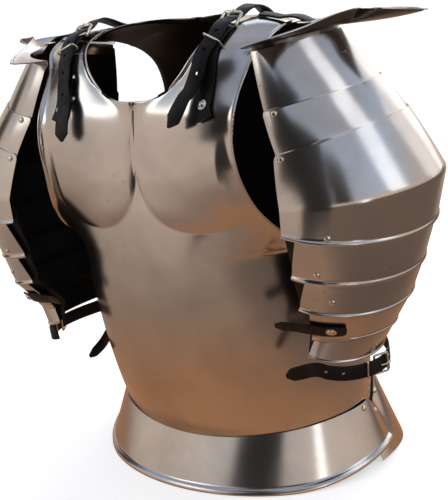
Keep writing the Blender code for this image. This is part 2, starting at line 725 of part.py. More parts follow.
# Columns: angle, width
WASHER_STRAP = ((-57, 0.010), (-61, 0.0165), (-70, 0.018), (-79, 0.018), (-88, 0.018))
# Columns: run forward, run outward, drop, width
WASHER_STRAP_END = (
    (0.012, 0.0, 0.000, 0.016), (0.022, 0.001, -0.001, 0.015), (0.036, 0.004, -0.002, 0.016),
    (0.045, 0.006, -0.003, 0.006),
)
ARM_STRAP_END = (
    (0.012, 0.0, 0.002, 0.017), (0.024, 0.001, 0.006, 0.017), (0.036, 0.002, 0.010, 0.016),
    (0.044, 0.003, 0.013, 0.005),
)
# Columns: angle, extra distance out
ARM_STRAP = (
    (90, 0.0), (72, 0.0012), (55, 0.003), (38, 0.0050), (20, 0.0075), (2, 0.0085), (-16, 0.0065),
    (-34, 0.0035), (-52, 0.002), (-70, 0.001), (-84, 0.0),
)
# The right arm strap's loose end, behind the body. Columns: x, y, z as shares of
# HALF_WIDTH, HALF_DEPTH and BODY_HEIGHT, facing x, facing y, width in metres.
RIGHT_END = (
    (1.0511, 0.3746, 0.331, -0.50, 0.87, 0.018), (1.0411, 0.3231, 0.323, -1.0, 0.2, 0.018),
    (1.0368, 0.2077, 0.312, -1.0, 0.0, 0.018), (1.0184, 0.0538, 0.297, -1.0, 0.0, 0.018),
    (0.9921, -0.1000, 0.286, -1.0, 0.0, 0.017), (0.9921, -0.2308, 0.276, -1.0, 0.0, 0.015),
    (1.0000, -0.3077, 0.270, -1.0, 0.0, 0.005),
)
# Columns: across, row, lift
SUSPENSION = (
    (0.53, 18.6, 0.0014), (0.68, 18.6, 0.0014), (0.82, 18.6, 0.0018), (0.95, 18.55, 0.0050),
)
SUSPENSION_INSET = 0.0125
# The strap's two places past the shoulder, as shares of the same three sizes
SUSPENSION_REST = ((0.9789, 0.0923, 1.140), (1.0789, 0.0923, 1.116))


def in_shares(x, y, z):
    """A point given as shares of the torso's half-width, half-depth and height."""
    return Vector((x * HALF_WIDTH, y * HALF_DEPTH, z * BODY_HEIGHT))


def inner_band(name, degrees, side, mount, hang=0.0):
    """A leather band inside the lower lames that they hang from."""
    inward = -Vector((cos(radians(degrees)), sin(radians(degrees)), 0))
    route = [(section_point(3.35, degrees, -BAND_INSET - 0.001), inward, BAND_WIDTH)]
    for level, more, share in BAND:
        point = section_point(level, degrees, -BAND_INSET - more)
        raised = point + Vector((0, 0, 0.2 * HIDDEN_RISE + 0.0015))
        route.append((raised, inward, BAND_WIDTH * share))
        route.append((point, inward, BAND_WIDTH * share))
    last = section_point(7.85, degrees, -BAND_INSET - BAND_EASE)
    route.append((last, inward, BAND_WIDTH * 0.7))
    if hang:
        low = section_point(8, degrees, -BAND_INSET - BAND_EASE)
        route.append((low - Vector((0, 0, hang)), inward, BAND_WIDTH * 0.7))
    return strap(name, route, side, mount)


def on_pauldron(level, degrees, out):
    """A point on the pauldron's form with its outward direction."""
    point = section_point(level, degrees, out)
    across = section_point(level, degrees + 1, out) - section_point(level, degrees - 1, out)
    low, high = min(8, level + 0.05), level - 0.05
    down = section_point(low, degrees, out) - section_point(high, degrees, out)
    return point, -across.cross(down).normalized()


def below_plate(degrees, out):
    """A point on the arm strap's path, below the last plate."""
    return section_point(8.0, degrees, out) - Vector((0, 0, ARM_STRAP_DROP))


def hanging_end(route, rows):
    """Add a loose end's stations, each set off from the route's last point."""
    last, facing, _ = route[-1]
    for run, away, drop, width in rows:
        route.append((last + Vector((-run, -away, -drop)), facing, width))


for side, hand in SIDES:
    holder = MOUNTS[hand, "main"]
    inner_band(hand + "_front_band", FRONT_BAND, side, holder)
    inner_band(hand + "_rear_band", REAR_BAND, side, holder, ARM_STRAP_DROP + 0.009)
    for piece, level, degrees, inset in PIVOTS:
        for end, turn in (("front", -degrees), ("rear", degrees)):
            spot, normal = on_pauldron(level, turn, -inset)
            dome_rivet("%s_%s_%s_pivot" % (hand, piece, end), spot, normal, side, MOUNTS[hand, piece])

    # Washer strap on the sixth plate, its end hanging forward
    route = []
    for degrees, width in WASHER_STRAP:
        spot, normal = on_pauldron(6.52, degrees, 0.0004)
        route.append((spot, normal, width))
    hanging_end(route, WASHER_STRAP_END)
    strap(hand + "_washer_strap", route, side, holder)
    spot, normal = on_pauldron(6.52, -70, 0.0008 + LEATHER)
    dome_rivet(hand + "_washer_rivet", spot, normal, side, holder, washer=WASHER_RADIUS)

    # Arm strap below the last plate
    inside = STRAP_CLEAR - BAND_INSET - BAND_EASE
    route = []
    for degrees, more in ARM_STRAP:
        facing = Vector((cos(radians(degrees)), sin(radians(degrees)), 0))
        route.append((below_plate(degrees, inside + more), facing, ARM_STRAP_WIDTH))
    if side > 0:
        hanging_end(route, ARM_STRAP_END)
    else:
        route.reverse()
        route += [
            (in_shares(x, y, z), Vector((face_x, face_y, 0)), width)
            for x, y, z, face_x, face_y, width in RIGHT_END
        ]
    strap(hand + "_arm_strap", route, side, holder)

    outer = inside + 0.0080
    spot, ahead = below_plate(-2, outer), below_plate(-10, outer)
    along, facing = flat_frame(spot, ahead, Vector((1, 0, 0)))
    half = ARM_STRAP_WIDTH / 2 + 0.0024
    corners = loop_points(spot, along, facing, half, (-0.0075, LEATHER + 0.0026), (0.0085, -0.0030))
    wire(hand + "_arm_buckle", corners, FRAME_WIRE, side, holder)
    prong = [
        spot + along * 0.0060 + facing * (LEATHER + 0.0018), spot + facing * (LEATHER + 0.0052),
        spot - along * 0.0092 + facing * (LEATHER + 0.0056),
    ]
    wire(hand + "_arm_prong", prong, THIN_WIRE, side, holder, closed=False)

    outer = inside + 0.0052
    spot, ahead = below_plate(-24, outer), below_plate(-32, outer)
    along, facing = flat_frame(spot, ahead, Vector((cos(radians(-24)), sin(radians(-24)), 0)))
    half = ARM_STRAP_WIDTH / 2 + 0.0018
    corners = loop_points(spot, along, facing, half, (0, -0.0022), (0, LEATHER + 0.0022))
    wire(hand + "_arm_keeper", corners, THIN_WIRE, side, holder)

    # Suspension strap from the shoulder to the inside of the top plate
    route = [on_torso(*row) for row in SUSPENSION]
    for shares in SUSPENSION_REST:
        route.append((in_shares(*shares), Vector((0.45, 0, 0.9)), STRAP_WIDTH))
    for level in (0.44, 0.72):
        spot, normal = on_pauldron(level, 0, -SUSPENSION_INSET)
        route.append((spot, normal, STRAP_WIDTH))
    strap(hand + "_suspension_strap", route, side, STAND)
    first, second = (in_shares(*row) for row in SUSPENSION_REST)
    along, normal = flat_frame(first, second, Vector((0.5, 0, 0.85)))
    half = STRAP_WIDTH / 2 + 0.0024
    spot = first.lerp(second, 0.4)
    corners = loop_points(spot, along, normal, half, (-0.0075, -0.0028), (0.0075, LEATHER + 0.0030))
    wire(hand + "_suspension_buckle", corners, FRAME_WIRE, side, STAND)
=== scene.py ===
from math import cos, pi, radians, sin

import bmesh
import bpy
import numpy as np
from mathutils import Matrix, Vector


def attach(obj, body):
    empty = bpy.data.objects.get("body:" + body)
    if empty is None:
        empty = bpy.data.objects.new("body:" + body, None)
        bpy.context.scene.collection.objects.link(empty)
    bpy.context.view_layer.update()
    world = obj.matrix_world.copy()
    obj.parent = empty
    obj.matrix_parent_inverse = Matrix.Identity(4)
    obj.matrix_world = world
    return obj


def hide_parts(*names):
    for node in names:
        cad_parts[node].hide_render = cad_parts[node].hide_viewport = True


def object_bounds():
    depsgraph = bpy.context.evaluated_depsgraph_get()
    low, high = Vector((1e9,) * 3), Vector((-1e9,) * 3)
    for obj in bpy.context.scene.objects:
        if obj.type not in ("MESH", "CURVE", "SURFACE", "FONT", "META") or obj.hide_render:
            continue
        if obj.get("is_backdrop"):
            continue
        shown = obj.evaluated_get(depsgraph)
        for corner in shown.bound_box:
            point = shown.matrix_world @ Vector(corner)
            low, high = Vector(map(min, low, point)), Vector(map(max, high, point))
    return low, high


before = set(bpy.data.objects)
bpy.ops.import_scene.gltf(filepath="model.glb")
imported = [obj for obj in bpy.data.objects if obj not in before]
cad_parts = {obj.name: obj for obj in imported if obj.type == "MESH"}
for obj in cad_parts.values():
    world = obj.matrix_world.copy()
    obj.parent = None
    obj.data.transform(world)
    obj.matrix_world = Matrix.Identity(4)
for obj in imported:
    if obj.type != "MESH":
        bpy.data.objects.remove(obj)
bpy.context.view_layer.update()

# Camera
# It stands at the photograph's angle, at chest height, in front of the wearer's left side. A
# long lens with small shifts frames the armour as closely as the photograph does.
CAMERA_TURN = radians(36.28)
CAMERA_RISE = radians(17.114)
CAMERA_ROLL = radians(-8.076)
CAMERA_AWAY = 1.3068
CAMERA_LENS = 72.80
CAMERA_SHIFT = (-0.01676, 0.01007)
LOOK_RIGHT = 0.04288
LOOK_UP = 0.27774
STAND_Y = -0.053577


def add_object(name, data):
    """An object round its data, linked to the scene."""
    piece = bpy.data.objects.new(name, data)
    bpy.context.scene.collection.objects.link(piece)
    return piece


back = Vector((
    sin(CAMERA_TURN) * cos(CAMERA_RISE), -cos(CAMERA_TURN) * cos(CAMERA_RISE), sin(CAMERA_RISE)))
level_right = Vector((cos(CAMERA_TURN), sin(CAMERA_TURN), 0))
level_up = back.cross(level_right)
camera_x = level_right * cos(CAMERA_ROLL) + level_up * sin(CAMERA_ROLL)
camera_y = level_up * cos(CAMERA_ROLL) - level_right * sin(CAMERA_ROLL)
aim = level_right * LOOK_RIGHT + Vector((0, STAND_Y, LOOK_UP))
camera_data = bpy.data.cameras.new("studio_camera")
camera_data.lens = CAMERA_LENS
camera_data.sensor_width = 36
camera_data.shift_x, camera_data.shift_y = CAMERA_SHIFT
camera = add_object("studio_camera", camera_data)
facing = Matrix((camera_x, camera_y, back)).transposed().to_4x4()
camera.matrix_world = Matrix.Translation(aim + back * CAMERA_AWAY) @ facing
bpy.context.scene.camera = camera
bpy.context.scene.view_settings.view_transform = "Standard"


# Studio
# A pale floor under a soft dome: cool and bright overhead, warm and dim near the horizon.
# Large soft lights stand at the front, and dark cards give the steel something to mirror.
SKY = (
    (0.00, (0.30, 0.20, 0.13)), (0.46, (0.50, 0.40, 0.32)), (0.50, (0.72, 0.58, 0.48)),
    (0.64, (0.80, 0.66, 0.56)), (0.72, (0.64, 0.61, 0.60)), (0.80, (0.56, 0.66, 0.85)),
    (0.90, (0.42, 0.43, 0.48)), (1.00, (0.52, 0.54, 0.62)),
)
# Painted reflection: the tones the floor glows with for reflected rays, from its middle outwards,
# over FLOOR_REACH metres
FLOOR_TONES = (
    (0.0, (0.50, 0.25, 0.12)), (0.05, (0.46, 0.23, 0.12)), (0.12, (0.36, 0.25, 0.19)),
    (0.22, (0.58, 0.45, 0.36)), (1.0, (0.74, 0.59, 0.49)),
)
FLOOR_REACH = 6.0
# Painted shade: the floor's glow darkens to this from x 0.26 to 0.48 outwards
FLOOR_SHADE = (0.20, 0.14, 0.11, 1)


def add_node(tree, kind, links=(), **values):
    """A node with its settings and its links, each link an input name and an output socket."""
    node = tree.nodes.new(kind)
    for label, value in values.items():
        setattr(node, label, value)
    for label, source in links:
        if isinstance(source, bpy.types.NodeSocket):
            tree.links.new(source, node.inputs[label])
        else:
            node.inputs[label].default_value = source
    return node


def mixed(tree, share, first, second):
    """A colour between two, by a share."""
    return add_node(
        tree, "ShaderNodeMix", ((0, share), (6, first), (7, second)), data_type="RGBA").outputs[2]


def tone_ramp(tree, tones, source):
    """A colour that is read from a row of tones."""
    ramp = add_node(tree, "ShaderNodeValToRGB", ((0, source),))
    stops = ramp.color_ramp.elements
    for stop, (place, colour) in ((stops[0], tones[0]), (stops[1], tones[-1])):
        stop.position, stop.color = place, (*colour, 1)
    for place, colour in tones[1:-1]:
        stops.new(place).color = (*colour, 1)
    return ramp.outputs["Color"]


def new_finish(name, constants):
    """A material with its shader's constants set, its node tree and its shader."""
    finish = bpy.data.materials.new(name)
    finish.use_nodes = True
    shader = finish.node_tree.nodes["Principled BSDF"]
    for label, value in constants:
        shader.inputs[label].default_value = value
    return finish, finish.node_tree, shader


world = bpy.data.worlds.new("studio_dome")
bpy.context.scene.world = world
world.use_nodes = True
dome = world.node_tree
dome.nodes.clear()
place = add_node(dome, "ShaderNodeTexCoord")
split = add_node(dome, "ShaderNodeSeparateXYZ", ((0, place.outputs["Generated"]),))
height = add_node(dome, "ShaderNodeMapRange", (("Value", split.outputs["Z"]), ("From Min", -1)))
sky = add_node(dome, "ShaderNodeBackground", (("Color", tone_ramp(dome, SKY, height.outputs[0])),))
white = add_node(dome, "ShaderNodeBackground", (("Color", (1, 1, 1, 1)),))
path = add_node(dome, "ShaderNodeLightPath")
picked = add_node(dome, "ShaderNodeMixShader", (
    (0, path.outputs["Is Camera Ray"]), (1, sky.outputs[0]), (2, white.outputs[0])))
add_node(dome, "ShaderNodeOutputWorld", ((0, picked.outputs[0]),))

bpy.ops.mesh.primitive_plane_add(size=60)
floor = bpy.context.object
floor.name = "studio_floor"
floor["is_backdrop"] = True
floor_finish, tree, paint = new_finish("pale floor", (
    ("Base Color", (0.9, 0.9, 0.9, 1)), ("Roughness", 0.9), ("Specular IOR Level", 0.1)))
place = add_node(tree, "ShaderNodeTexCoord")
away = add_node(tree, "ShaderNodeVectorMath", ((0, place.outputs["Object"]),), operation="LENGTH")
reach = add_node(tree, "ShaderNodeMapRange", (
    ("Value", away.outputs["Value"]), ("From Max", FLOOR_REACH)))
split = add_node(tree, "ShaderNodeSeparateXYZ", ((0, place.outputs["Object"]),))
shade = add_node(tree, "ShaderNodeMapRange", (
    ("Value", split.outputs["X"]), ("From Min", 0.26), ("From Max", 0.48)))
# To reflected rays the floor glows with painted reflection tones and a painted shade towards +x. The
# camera sees it pale and evenly bright.
warm = add_node(tree, "ShaderNodeEmission", (("Color", mixed(
    tree, shade.outputs[0], tone_ramp(tree, FLOOR_TONES, reach.outputs[0]), FLOOR_SHADE)),))
glow = add_node(tree, "ShaderNodeEmission", (("Strength", 0.55),))
seen = add_node(tree, "ShaderNodeAddShader", ((0, paint.outputs[0]), (1, glow.outputs[0])))
path = add_node(tree, "ShaderNodeLightPath")
picked = add_node(tree, "ShaderNodeMixShader", (
    (0, path.outputs["Is Camera Ray"]), (1, warm.outputs[0]), (2, seen.outputs[0])))
tree.links.new(picked.outputs[0], tree.nodes["Material Output"].inputs["Surface"])
floor.data.materials.append(floor_finish)

# Soft lights. Columns: name, place, aim, width, depth, watts, colour
LIGHTS = (
    ("front", (1.40, -1.00, 0.42), (0.15, -0.17, 0.05), 0.22, 0.60, 0.6, (0.95, 0.98, 1.0)),
    ("side", (1.55, 0.05, 1.58), (0.35, 0.0, 0.42), 0.66, 1.55, 3.4, (0.97, 0.98, 1.0)),
    ("corner", (1.06, 1.30, 0.90), (0.37, 0.05, 0.42), 0.60, 0.90, 1.0, (0.95, 0.97, 1.0)),
    ("back", (0.10, 2.00, 0.95), (0.0, 0.0, 0.40), 1.60, 1.10, 6.0, (0.88, 0.94, 1.0)),
    ("rear", (-0.93, 2.00, 2.10), (0.0, 0.0, 0.50), 1.60, 1.40, 7.0, (0.88, 0.94, 1.0)),
    ("chest", (-1.60, -1.90, 1.90), (0.0, 0.0, 0.40), 1.20, 0.80, 6.0, (1.0, 0.93, 0.85)),
)
for name, place, point, width, depth, watts, colour in LIGHTS:
    light_data = bpy.data.lights.new(name + "_light", "AREA")
    light_data.shape = "RECTANGLE"
    light_data.size = width
    light_data.size_y = depth
    light_data.energy = watts
    light_data.color = colour
    light = add_object(name + "_light", light_data)
    light.visible_camera = False
    light.location = place
    light.rotation_mode = "QUATERNION"
    light.rotation_quaternion = (Vector(place) - Vector(point)).to_track_quat("Z", "Y")

# Dark cards. Columns: name, place, aim, width, depth
CARDS = (
    ("front_card", (0.20, -1.22, 0.76), (0.20, 0.0, 0.76), 0.70, 1.50),
    ("corner_card", (0.82, -1.20, 1.04), (0.27, 0.0, 0.60), 0.46, 0.62),
    ("upper_card", (0.05, -0.42, 0.61), (0.21, -0.13, 0.47), 0.28, 0.24),
    ("right_card", (-1.40, -0.15, 0.55), (0.0, -0.1, 0.40), 0.45, 0.80),
)
CLOTH = new_finish("dark cloth", (("Base Color", (0.03, 0.03, 0.03, 1)), ("Roughness", 0.9)))[0]
for name, place, point, width, depth in CARDS:
    facing = (Vector(place) - Vector(point)).to_track_quat("Z", "Y")
    bpy.ops.mesh.primitive_plane_add(size=1, location=place, rotation=facing.to_euler())
    card = bpy.context.object
    card.name = name
    card.scale = (width, depth, 1)
    card.visible_camera = False
    card.data.materials.append(CLOTH)
    card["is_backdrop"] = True


# Torso plates
# A breastplate and a backplate of 1.2 mm steel, raised by hand over stakes, with rolled
# edges at the neck and the arms. Hand polishing left them satin, and the inside is painted near-black
# as painted shade.
HALF_WIDTH = 0.190
HALF_DEPTH = 0.130
BODY_HEIGHT = 0.500
PLATE = 0.0012
STEP = 0.0016
SEAM_Y = 0.45 * HALF_DEPTH
LAP = 0.09
# Columns: inner x, y, z, outer x, y, z as shares of the half-width, half-depth and height,
# the turn in degrees, and the crown between the edges as a share of the half-depth
TORSO = (
    (0.000, -0.513, 0.101, 0.978, 0.481, 0.121, 90, 0.000),
    (0.000, -0.525, 0.125, 0.981, 0.481, 0.147, 90, 0.000),
    (0.000, -0.658, 0.230, 0.993, 0.474, 0.248, 90, 0.000),
    (0.000, -0.757, 0.359, 1.014, 0.467, 0.377, 90, 0.000),
    (0.000, -0.796, 0.488, 1.034, 0.460, 0.506, 90, 0.000),
    (0.000, -0.800, 0.589, 1.041, 0.439, 0.616, 90, 0.000),
    (0.000, -0.796, 0.648, 1.034, 0.198, 0.622, 84, 0.000),
    (0.000, -0.786, 0.699, 1.007, -0.071, 0.633, 76, 0.000),
    (0.000, -0.771, 0.747, 0.964, -0.297, 0.659, 66, 0.000),
    (0.000, -0.750, 0.795, 0.901, -0.495, 0.703, 55, 0.000),
    (0.000, -0.729, 0.843, 0.835, -0.637, 0.758, 45, 0.000),
    (0.000, -0.701, 0.894, 0.789, -0.715, 0.828, 38, 0.000),
    (0.000, -0.665, 0.946, 0.779, -0.740, 0.902, 34, 0.014),
    (0.000, -0.626, 0.995, 0.784, -0.686, 0.960, 32, 0.028),
    (0.182, -0.566, 1.002, 0.787, -0.587, 1.003, 30, 0.042),
    (0.318, -0.521, 1.043, 0.794, -0.453, 1.043, 30, 0.057),
    (0.409, -0.448, 1.086, 0.818, -0.340, 1.076, 30, 0.064),
    (0.467, -0.311, 1.121, 0.872, -0.212, 1.108, 30, 0.064),
    (0.472, -0.106, 1.144, 0.910, -0.014, 1.128, 30, 0.057),
    (0.445, 0.142, 1.154, 0.910, 0.212, 1.130, 30, 0.050),
    (0.383, 0.340, 1.156, 0.881, 0.439, 1.122, 30, 0.042),
    (0.242, 0.467, 1.156, 0.843, 0.672, 1.108, 30, 0.035),
    (0.000, 0.524, 1.152, 0.813, 0.885, 1.087, 32, 0.028),
    (0.000, 0.793, 1.133, 0.799, 1.083, 1.058, 36, 0.021),
    (0.000, 1.076, 1.104, 0.794, 1.231, 1.018, 40, 0.014),
    (0.000, 1.302, 1.062, 0.799, 1.316, 0.957, 45, 0.000),
    (0.000, 1.451, 1.008, 0.818, 1.323, 0.887, 52, 0.000),
    (0.000, 1.536, 0.942, 0.852, 1.274, 0.813, 60, 0.000),
    (0.000, 1.585, 0.872, 0.901, 1.175, 0.743, 67, 0.000),
    (0.000, 1.614, 0.802, 0.959, 1.005, 0.681, 74, 0.000),
    (0.000, 1.628, 0.736, 1.012, 0.764, 0.640, 80, 0.000),
    (0.000, 1.628, 0.644, 1.041, 0.453, 0.616, 90, 0.000),
    (0.000, 1.599, 0.506, 1.034, 0.460, 0.506, 90, 0.000),
    (0.000, 1.550, 0.368, 1.014, 0.467, 0.377, 90, 0.000),
    (0.000, 1.507, 0.239, 0.993, 0.474, 0.248, 90, 0.000),
    (0.000, 1.483, 0.158, 0.981, 0.481, 0.147, 90, 0.000),
    (0.000, 1.479, 0.132, 0.978, 0.481, 0.121, 90, 0.000),
)
TORSO_COLUMNS = tuple(zip(*TORSO))
SIDE_TOP, FRONT_NECK, REAR_NECK, REAR_SIDE_TOP = 5, 13, 22, 31


def unit(vectors):
    """Vectors at a length of one."""
    return vectors / np.linalg.norm(vectors, axis=-1, keepdims=True)


def ease(low, high, value):
    """Ease from 0 at low to 1 at high."""
    share = np.clip((value - low) / (high - low), 0, 1)
    return share * share * (3 - 2 * share)


def between(values, rise_from, rise_to, fall_from, fall_to):
    """1 over a stretch of values, with eased ends."""
    return ease(rise_from, rise_to, values) * (1 - ease(fall_from, fall_to, values))


def through_rows(values, place, corners=()):
    """Read a smooth curve through evenly numbered values, with breaks at the corners."""
    last = len(values) - 1
    low = min(int(place), last - 1)
    share = place - low
    first, second = values[low], values[low + 1]
    has_before = low > 0 and low not in corners
    has_after = low + 1 < last and low + 1 not in corners
    slope_end = (values[low + 2] - first) / 2 if has_after else None
    slope_first = (second - values[low - 1]) / 2 if has_before else None
    if slope_first is None:
        slope_first = 1.5 * (second - first) - 0.5 * (slope_end if has_after else second - first)
    if slope_end is None:
        slope_end = 1.5 * (second - first) - 0.5 * slope_first
    square, cube = share * share, share * share * share
    return ((2 * cube - 3 * square + 1) * first + (cube - 2 * square + share) * slope_first
            + (3 * square - 2 * cube) * second + (cube - square) * slope_end)


def torso_row(place):
    """Inner point, outer point, turn and crown of the torso at one row."""
    inner = [through_rows(TORSO_COLUMNS[k], place, (FRONT_NECK, REAR_NECK)) for k in (0, 1, 2)]
    outer = [through_rows(TORSO_COLUMNS[k], place) for k in (3, 4, 5)]
    if place <= FRONT_NECK or place >= REAR_NECK:
        inner[0] = 0.0
    inner[0] = max(0.0, inner[0])
    turn = radians(through_rows(TORSO_COLUMNS[6], place))
    crown = through_rows(TORSO_COLUMNS[7], place) * HALF_DEPTH
    return inner + outer + [turn, crown]


def bare_torso(across, places):
    """The torso's smooth form over a grid of places and shares across."""
    across = np.asarray(across, float)
    rows = np.array([torso_row(place) for place in places])
    size = np.array((HALF_WIDTH, HALF_DEPTH, BODY_HEIGHT))
    inner, outer, turn = rows[:, None, 0:3] * size, rows[:, None, 3:6] * size, rows[:, None, 6]
    share = across if across.ndim == 2 else across[None, :]
    run = np.sin(share * turn) / np.sin(turn)
    depth = (1 - np.cos(share * turn)) / (1 - np.cos(turn))
    # Behind, the middle is rounded over
    soft = 0.10 * ease(REAR_NECK, REAR_NECK + 2, np.asarray(places, float))[:, None]
    rounded = (np.sqrt(share ** 2 + soft ** 2) - soft) / (np.sqrt(1 + soft ** 2) - soft)
    moved = np.stack([run, depth, np.where(soft > 0, rounded, share)], axis=2)
    return inner + (outer - inner) * moved, rows[:, 7]


def rim_distance(points, rim):
    """The distance from each point to the nearest stretch of a rim."""
    best = np.full(points.shape[:-1], 1.0)
    for first, second in zip(rim, rim[1:]):
        run = second - first
        share = np.clip(((points - first) @ run) / (run @ run), 0, 1)
        best = np.minimum(best, np.linalg.norm(points - first - share[..., None] * run, axis=-1))
    return best


NECK_RIM = bare_torso([0.0], np.linspace(FRONT_NECK, REAR_NECK, 97))[0][:, 0]
ARM_RIM = bare_torso([1.0], np.linspace(SIDE_TOP, REAR_SIDE_TOP, 145))[0][:, 0]
RIM_WIDTH = 0.0070
RIM_FLARE = 0.0028
BEAD_WIDTH = 0.0042
BEAD_RISE = 0.0014
# The pectoral relief's middle, inner and outer reach, lower edge and drop, as shares
PEC_X, PEC_IN, PEC_OUT, PEC_Z, PEC_DROP = 0.436, 0.440, 0.400, 0.865, 0.171
PEC_RISE = 0.0118
RIDGE_RISE, RIDGE_WIDTH = 0.0011, 0.0016


def pec_relief(points):
    """The pectoral muscles' height above the smooth chest."""
    x, z = np.abs(points[..., 0]) / HALF_WIDTH, points[..., 2] / BODY_HEIGHT
    side = np.abs(x - PEC_X) / np.where(x < PEC_X, PEC_IN, PEC_OUT)
    below = np.maximum(0, PEC_Z - z) / PEC_DROP
    radius = np.minimum(1, (side ** 2.3 + below ** 2.3) ** (1 / 2.3))
    rise = PEC_RISE * (1 - radius ** 2.6) ** 0.8 * (1 - ease(0.80, 1.04, z))
    return np.where(points[..., 1] > 0, 0, rise)


def middle_ridge(points):
    """The fine ridge that is left between the pectoral muscles."""
    x, z = points[..., 0], points[..., 2] / BODY_HEIGHT
    rise = RIDGE_RISE * np.exp(-(x / RIDGE_WIDTH) ** 2) * ease(0.80, 0.87, z)
    return np.where(points[..., 1] > 0, 0, rise)


def torso_surface(across, places, inset=0.0, bead=0.0):
    """The finished torso surface and its outward directions over a grid."""
    across, places = np.asarray(across, float), np.asarray(places, float)
    points, crown = bare_torso(across, places)
    side = bare_torso(across + 0.01, places)[0] - bare_torso(across - 0.01, places)[0]
    low, high = np.maximum(0, places - 0.01), np.minimum(len(TORSO) - 1, places + 0.01)
    normal = unit(np.cross(side, bare_torso(across, high)[0] - bare_torso(across, low)[0]))
    share = across if across.ndim == 2 else np.broadcast_to(across, points.shape[:2])
    neck, arm = rim_distance(points, NECK_RIM), rim_distance(points, ARM_RIM)
    seam = ease(0.012, 0.035, np.abs(points[..., 1] - SEAM_Y))
    out = crown[:, None] * np.sin(pi * np.clip(share, 0, 1))
    out = out + pec_relief(points) * ease(0.0, 0.03, np.minimum(neck, arm)) + middle_ridge(points)
    for distance, strength in ((neck, 1.0), (arm, seam)):
        out = out + RIM_FLARE * np.maximum(0, 1 - distance / RIM_WIDTH) ** 1.5 * strength
        roll = np.clip(1 - (distance / BEAD_WIDTH * 2 - 1) ** 2, 0, 1) ** 0.5
        out = out + bead * roll * strength * (distance < BEAD_WIDTH)
    return points + normal * (out - inset)[..., None], normal


def new_group(name, inputs, outputs):
    """A shader node group with its named inputs and outputs."""
    group = bpy.data.node_groups.new(name, "ShaderNodeTree")
    for label, value in inputs:
        socket = group.interface.new_socket(label, in_out="INPUT", socket_type="NodeSocketFloat")
        socket.default_value = value
    for label, kind in outputs:
        group.interface.new_socket(label, in_out="OUTPUT", socket_type=kind)
    return group, group.nodes.new("NodeGroupInput"), group.nodes.new("NodeGroupOutput")


# Worn surface: large smudges, fine scratches both ways and small specks
WEAR = (("Smudge Size", 9.0), ("Grain Size", 900.0), ("Speck Size", 70.0))
wear, wear_in, wear_out = new_group(
    "handled surface", WEAR,
    (("Smudge", "NodeSocketFloat"), ("Grain", "NodeSocketFloat"), ("Speck", "NodeSocketFloat")))
wear_place = add_node(wear, "ShaderNodeTexCoord")
smudge = add_node(wear, "ShaderNodeTexNoise", (
    ("Vector", wear_place.outputs["Object"]), ("Scale", wear_in.outputs["Smudge Size"]),
    ("Detail", 4.0), ("Roughness", 0.55), ("Distortion", 0.4)))
stretch = add_node(wear, "ShaderNodeMapping", (
    ("Vector", wear_place.outputs["Object"]), ("Scale", (1.0, 1.0, 0.06))))
brushing = add_node(wear, "ShaderNodeTexNoise", (
    ("Vector", stretch.outputs[0]), ("Scale", wear_in.outputs["Grain Size"]),
    ("Detail", 2.0), ("Roughness", 0.5)))
specks = add_node(wear, "ShaderNodeTexVoronoi", (
    ("Vector", wear_place.outputs["Object"]), ("Scale", wear_in.outputs["Speck Size"])),
    distance="EUCLIDEAN")
speck_cut = add_node(wear, "ShaderNodeMapRange", (
    ("Value", specks.outputs["Distance"]), ("From Min", 0.03), ("From Max", 0.07),
    ("To Min", 1.0), ("To Max", 0.0)))
rare = add_node(wear, "ShaderNodeSeparateColor", (("Color", specks.outputs["Color"]),))
rare_cut = add_node(
    wear, "ShaderNodeMath", ((0, rare.outputs[0]), (1, 0.86)), operation="GREATER_THAN")
speck = add_node(wear, "ShaderNodeMath", (
    (0, speck_cut.outputs[0]), (1, rare_cut.outputs[0])), operation="MULTIPLY")
wear.links.new(smudge.outputs[0], wear_out.inputs["Smudge"])
wear.links.new(brushing.outputs[0], wear_out.inputs["Grain"])
wear.links.new(speck.outputs[0], wear_out.inputs["Speck"])


def metal_finish(name, pale, dark, stain, polish, grain, metallic=1.0, sheen=0.5):
    """A handled metal: two tones by its smudges, stained specks and brushed grain."""
    finish, tree, shader = new_finish(
        name, (("Metallic", metallic), ("Specular IOR Level", sheen)))
    surface = add_node(tree, "ShaderNodeGroup", WEAR, node_tree=wear)
    shade = add_node(tree, "ShaderNodeMapRange", (
        ("Value", surface.outputs["Smudge"]), ("From Min", 0.35), ("From Max", 0.65)))
    toned = mixed(tree, shade.outputs[0], (*dark, 1), (*pale, 1))
    stained = mixed(tree, surface.outputs["Speck"], toned, (*stain, 1))
    gloss = add_node(tree, "ShaderNodeMapRange", (
        ("Value", surface.outputs["Smudge"]), ("From Min", 0.3), ("From Max", 0.7),
        ("To Min", polish[1]), ("To Max", polish[0])))
    bump = add_node(tree, "ShaderNodeBump", (
        ("Height", surface.outputs["Grain"]), ("Strength", grain), ("Distance", 0.0004)))
    tree.links.new(stained, shader.inputs["Base Color"])
    tree.links.new(gloss.outputs[0], shader.inputs["Roughness"])
    tree.links.new(bump.outputs[0], shader.inputs["Normal"])
    return finish


POLISHED = metal_finish(
    "polished steel", (0.61, 0.595, 0.58), (0.49, 0.475, 0.465), (0.16, 0.12, 0.09),
    (0.15, 0.25), 0.05)
# The plates' inside faces: near-black, a painted shade in their hollows.
PAINTED_SHADE_INSIDE = metal_finish(
    "painted shade inside", (0.007, 0.007, 0.008), (0.004, 0.004, 0.004), (0.012, 0.008, 0.006),
    (0.45, 0.60), 0.10, metallic=0.0, sheen=0.16)


def select_only(piece):
    """Make a piece the active one and the only one selected."""
    bpy.ops.object.select_all(action="DESELECT")
    bpy.context.view_layer.objects.active = piece
    piece.select_set(True)


def laid_grid(name, points, flip=False):
    """A grid primitive with its vertices laid on a grid of points."""
    rows, columns = points.shape[:2]
    bpy.ops.mesh.primitive_grid_add(x_subdivisions=columns - 1, y_subdivisions=rows - 1, size=1)
    piece = bpy.context.object
    piece.name = name
    laid = points[:, ::-1] if flip else points
    piece.data.vertices.foreach_set("co", np.ascontiguousarray(laid, np.float32).ravel())
    piece.data.update()
    return piece


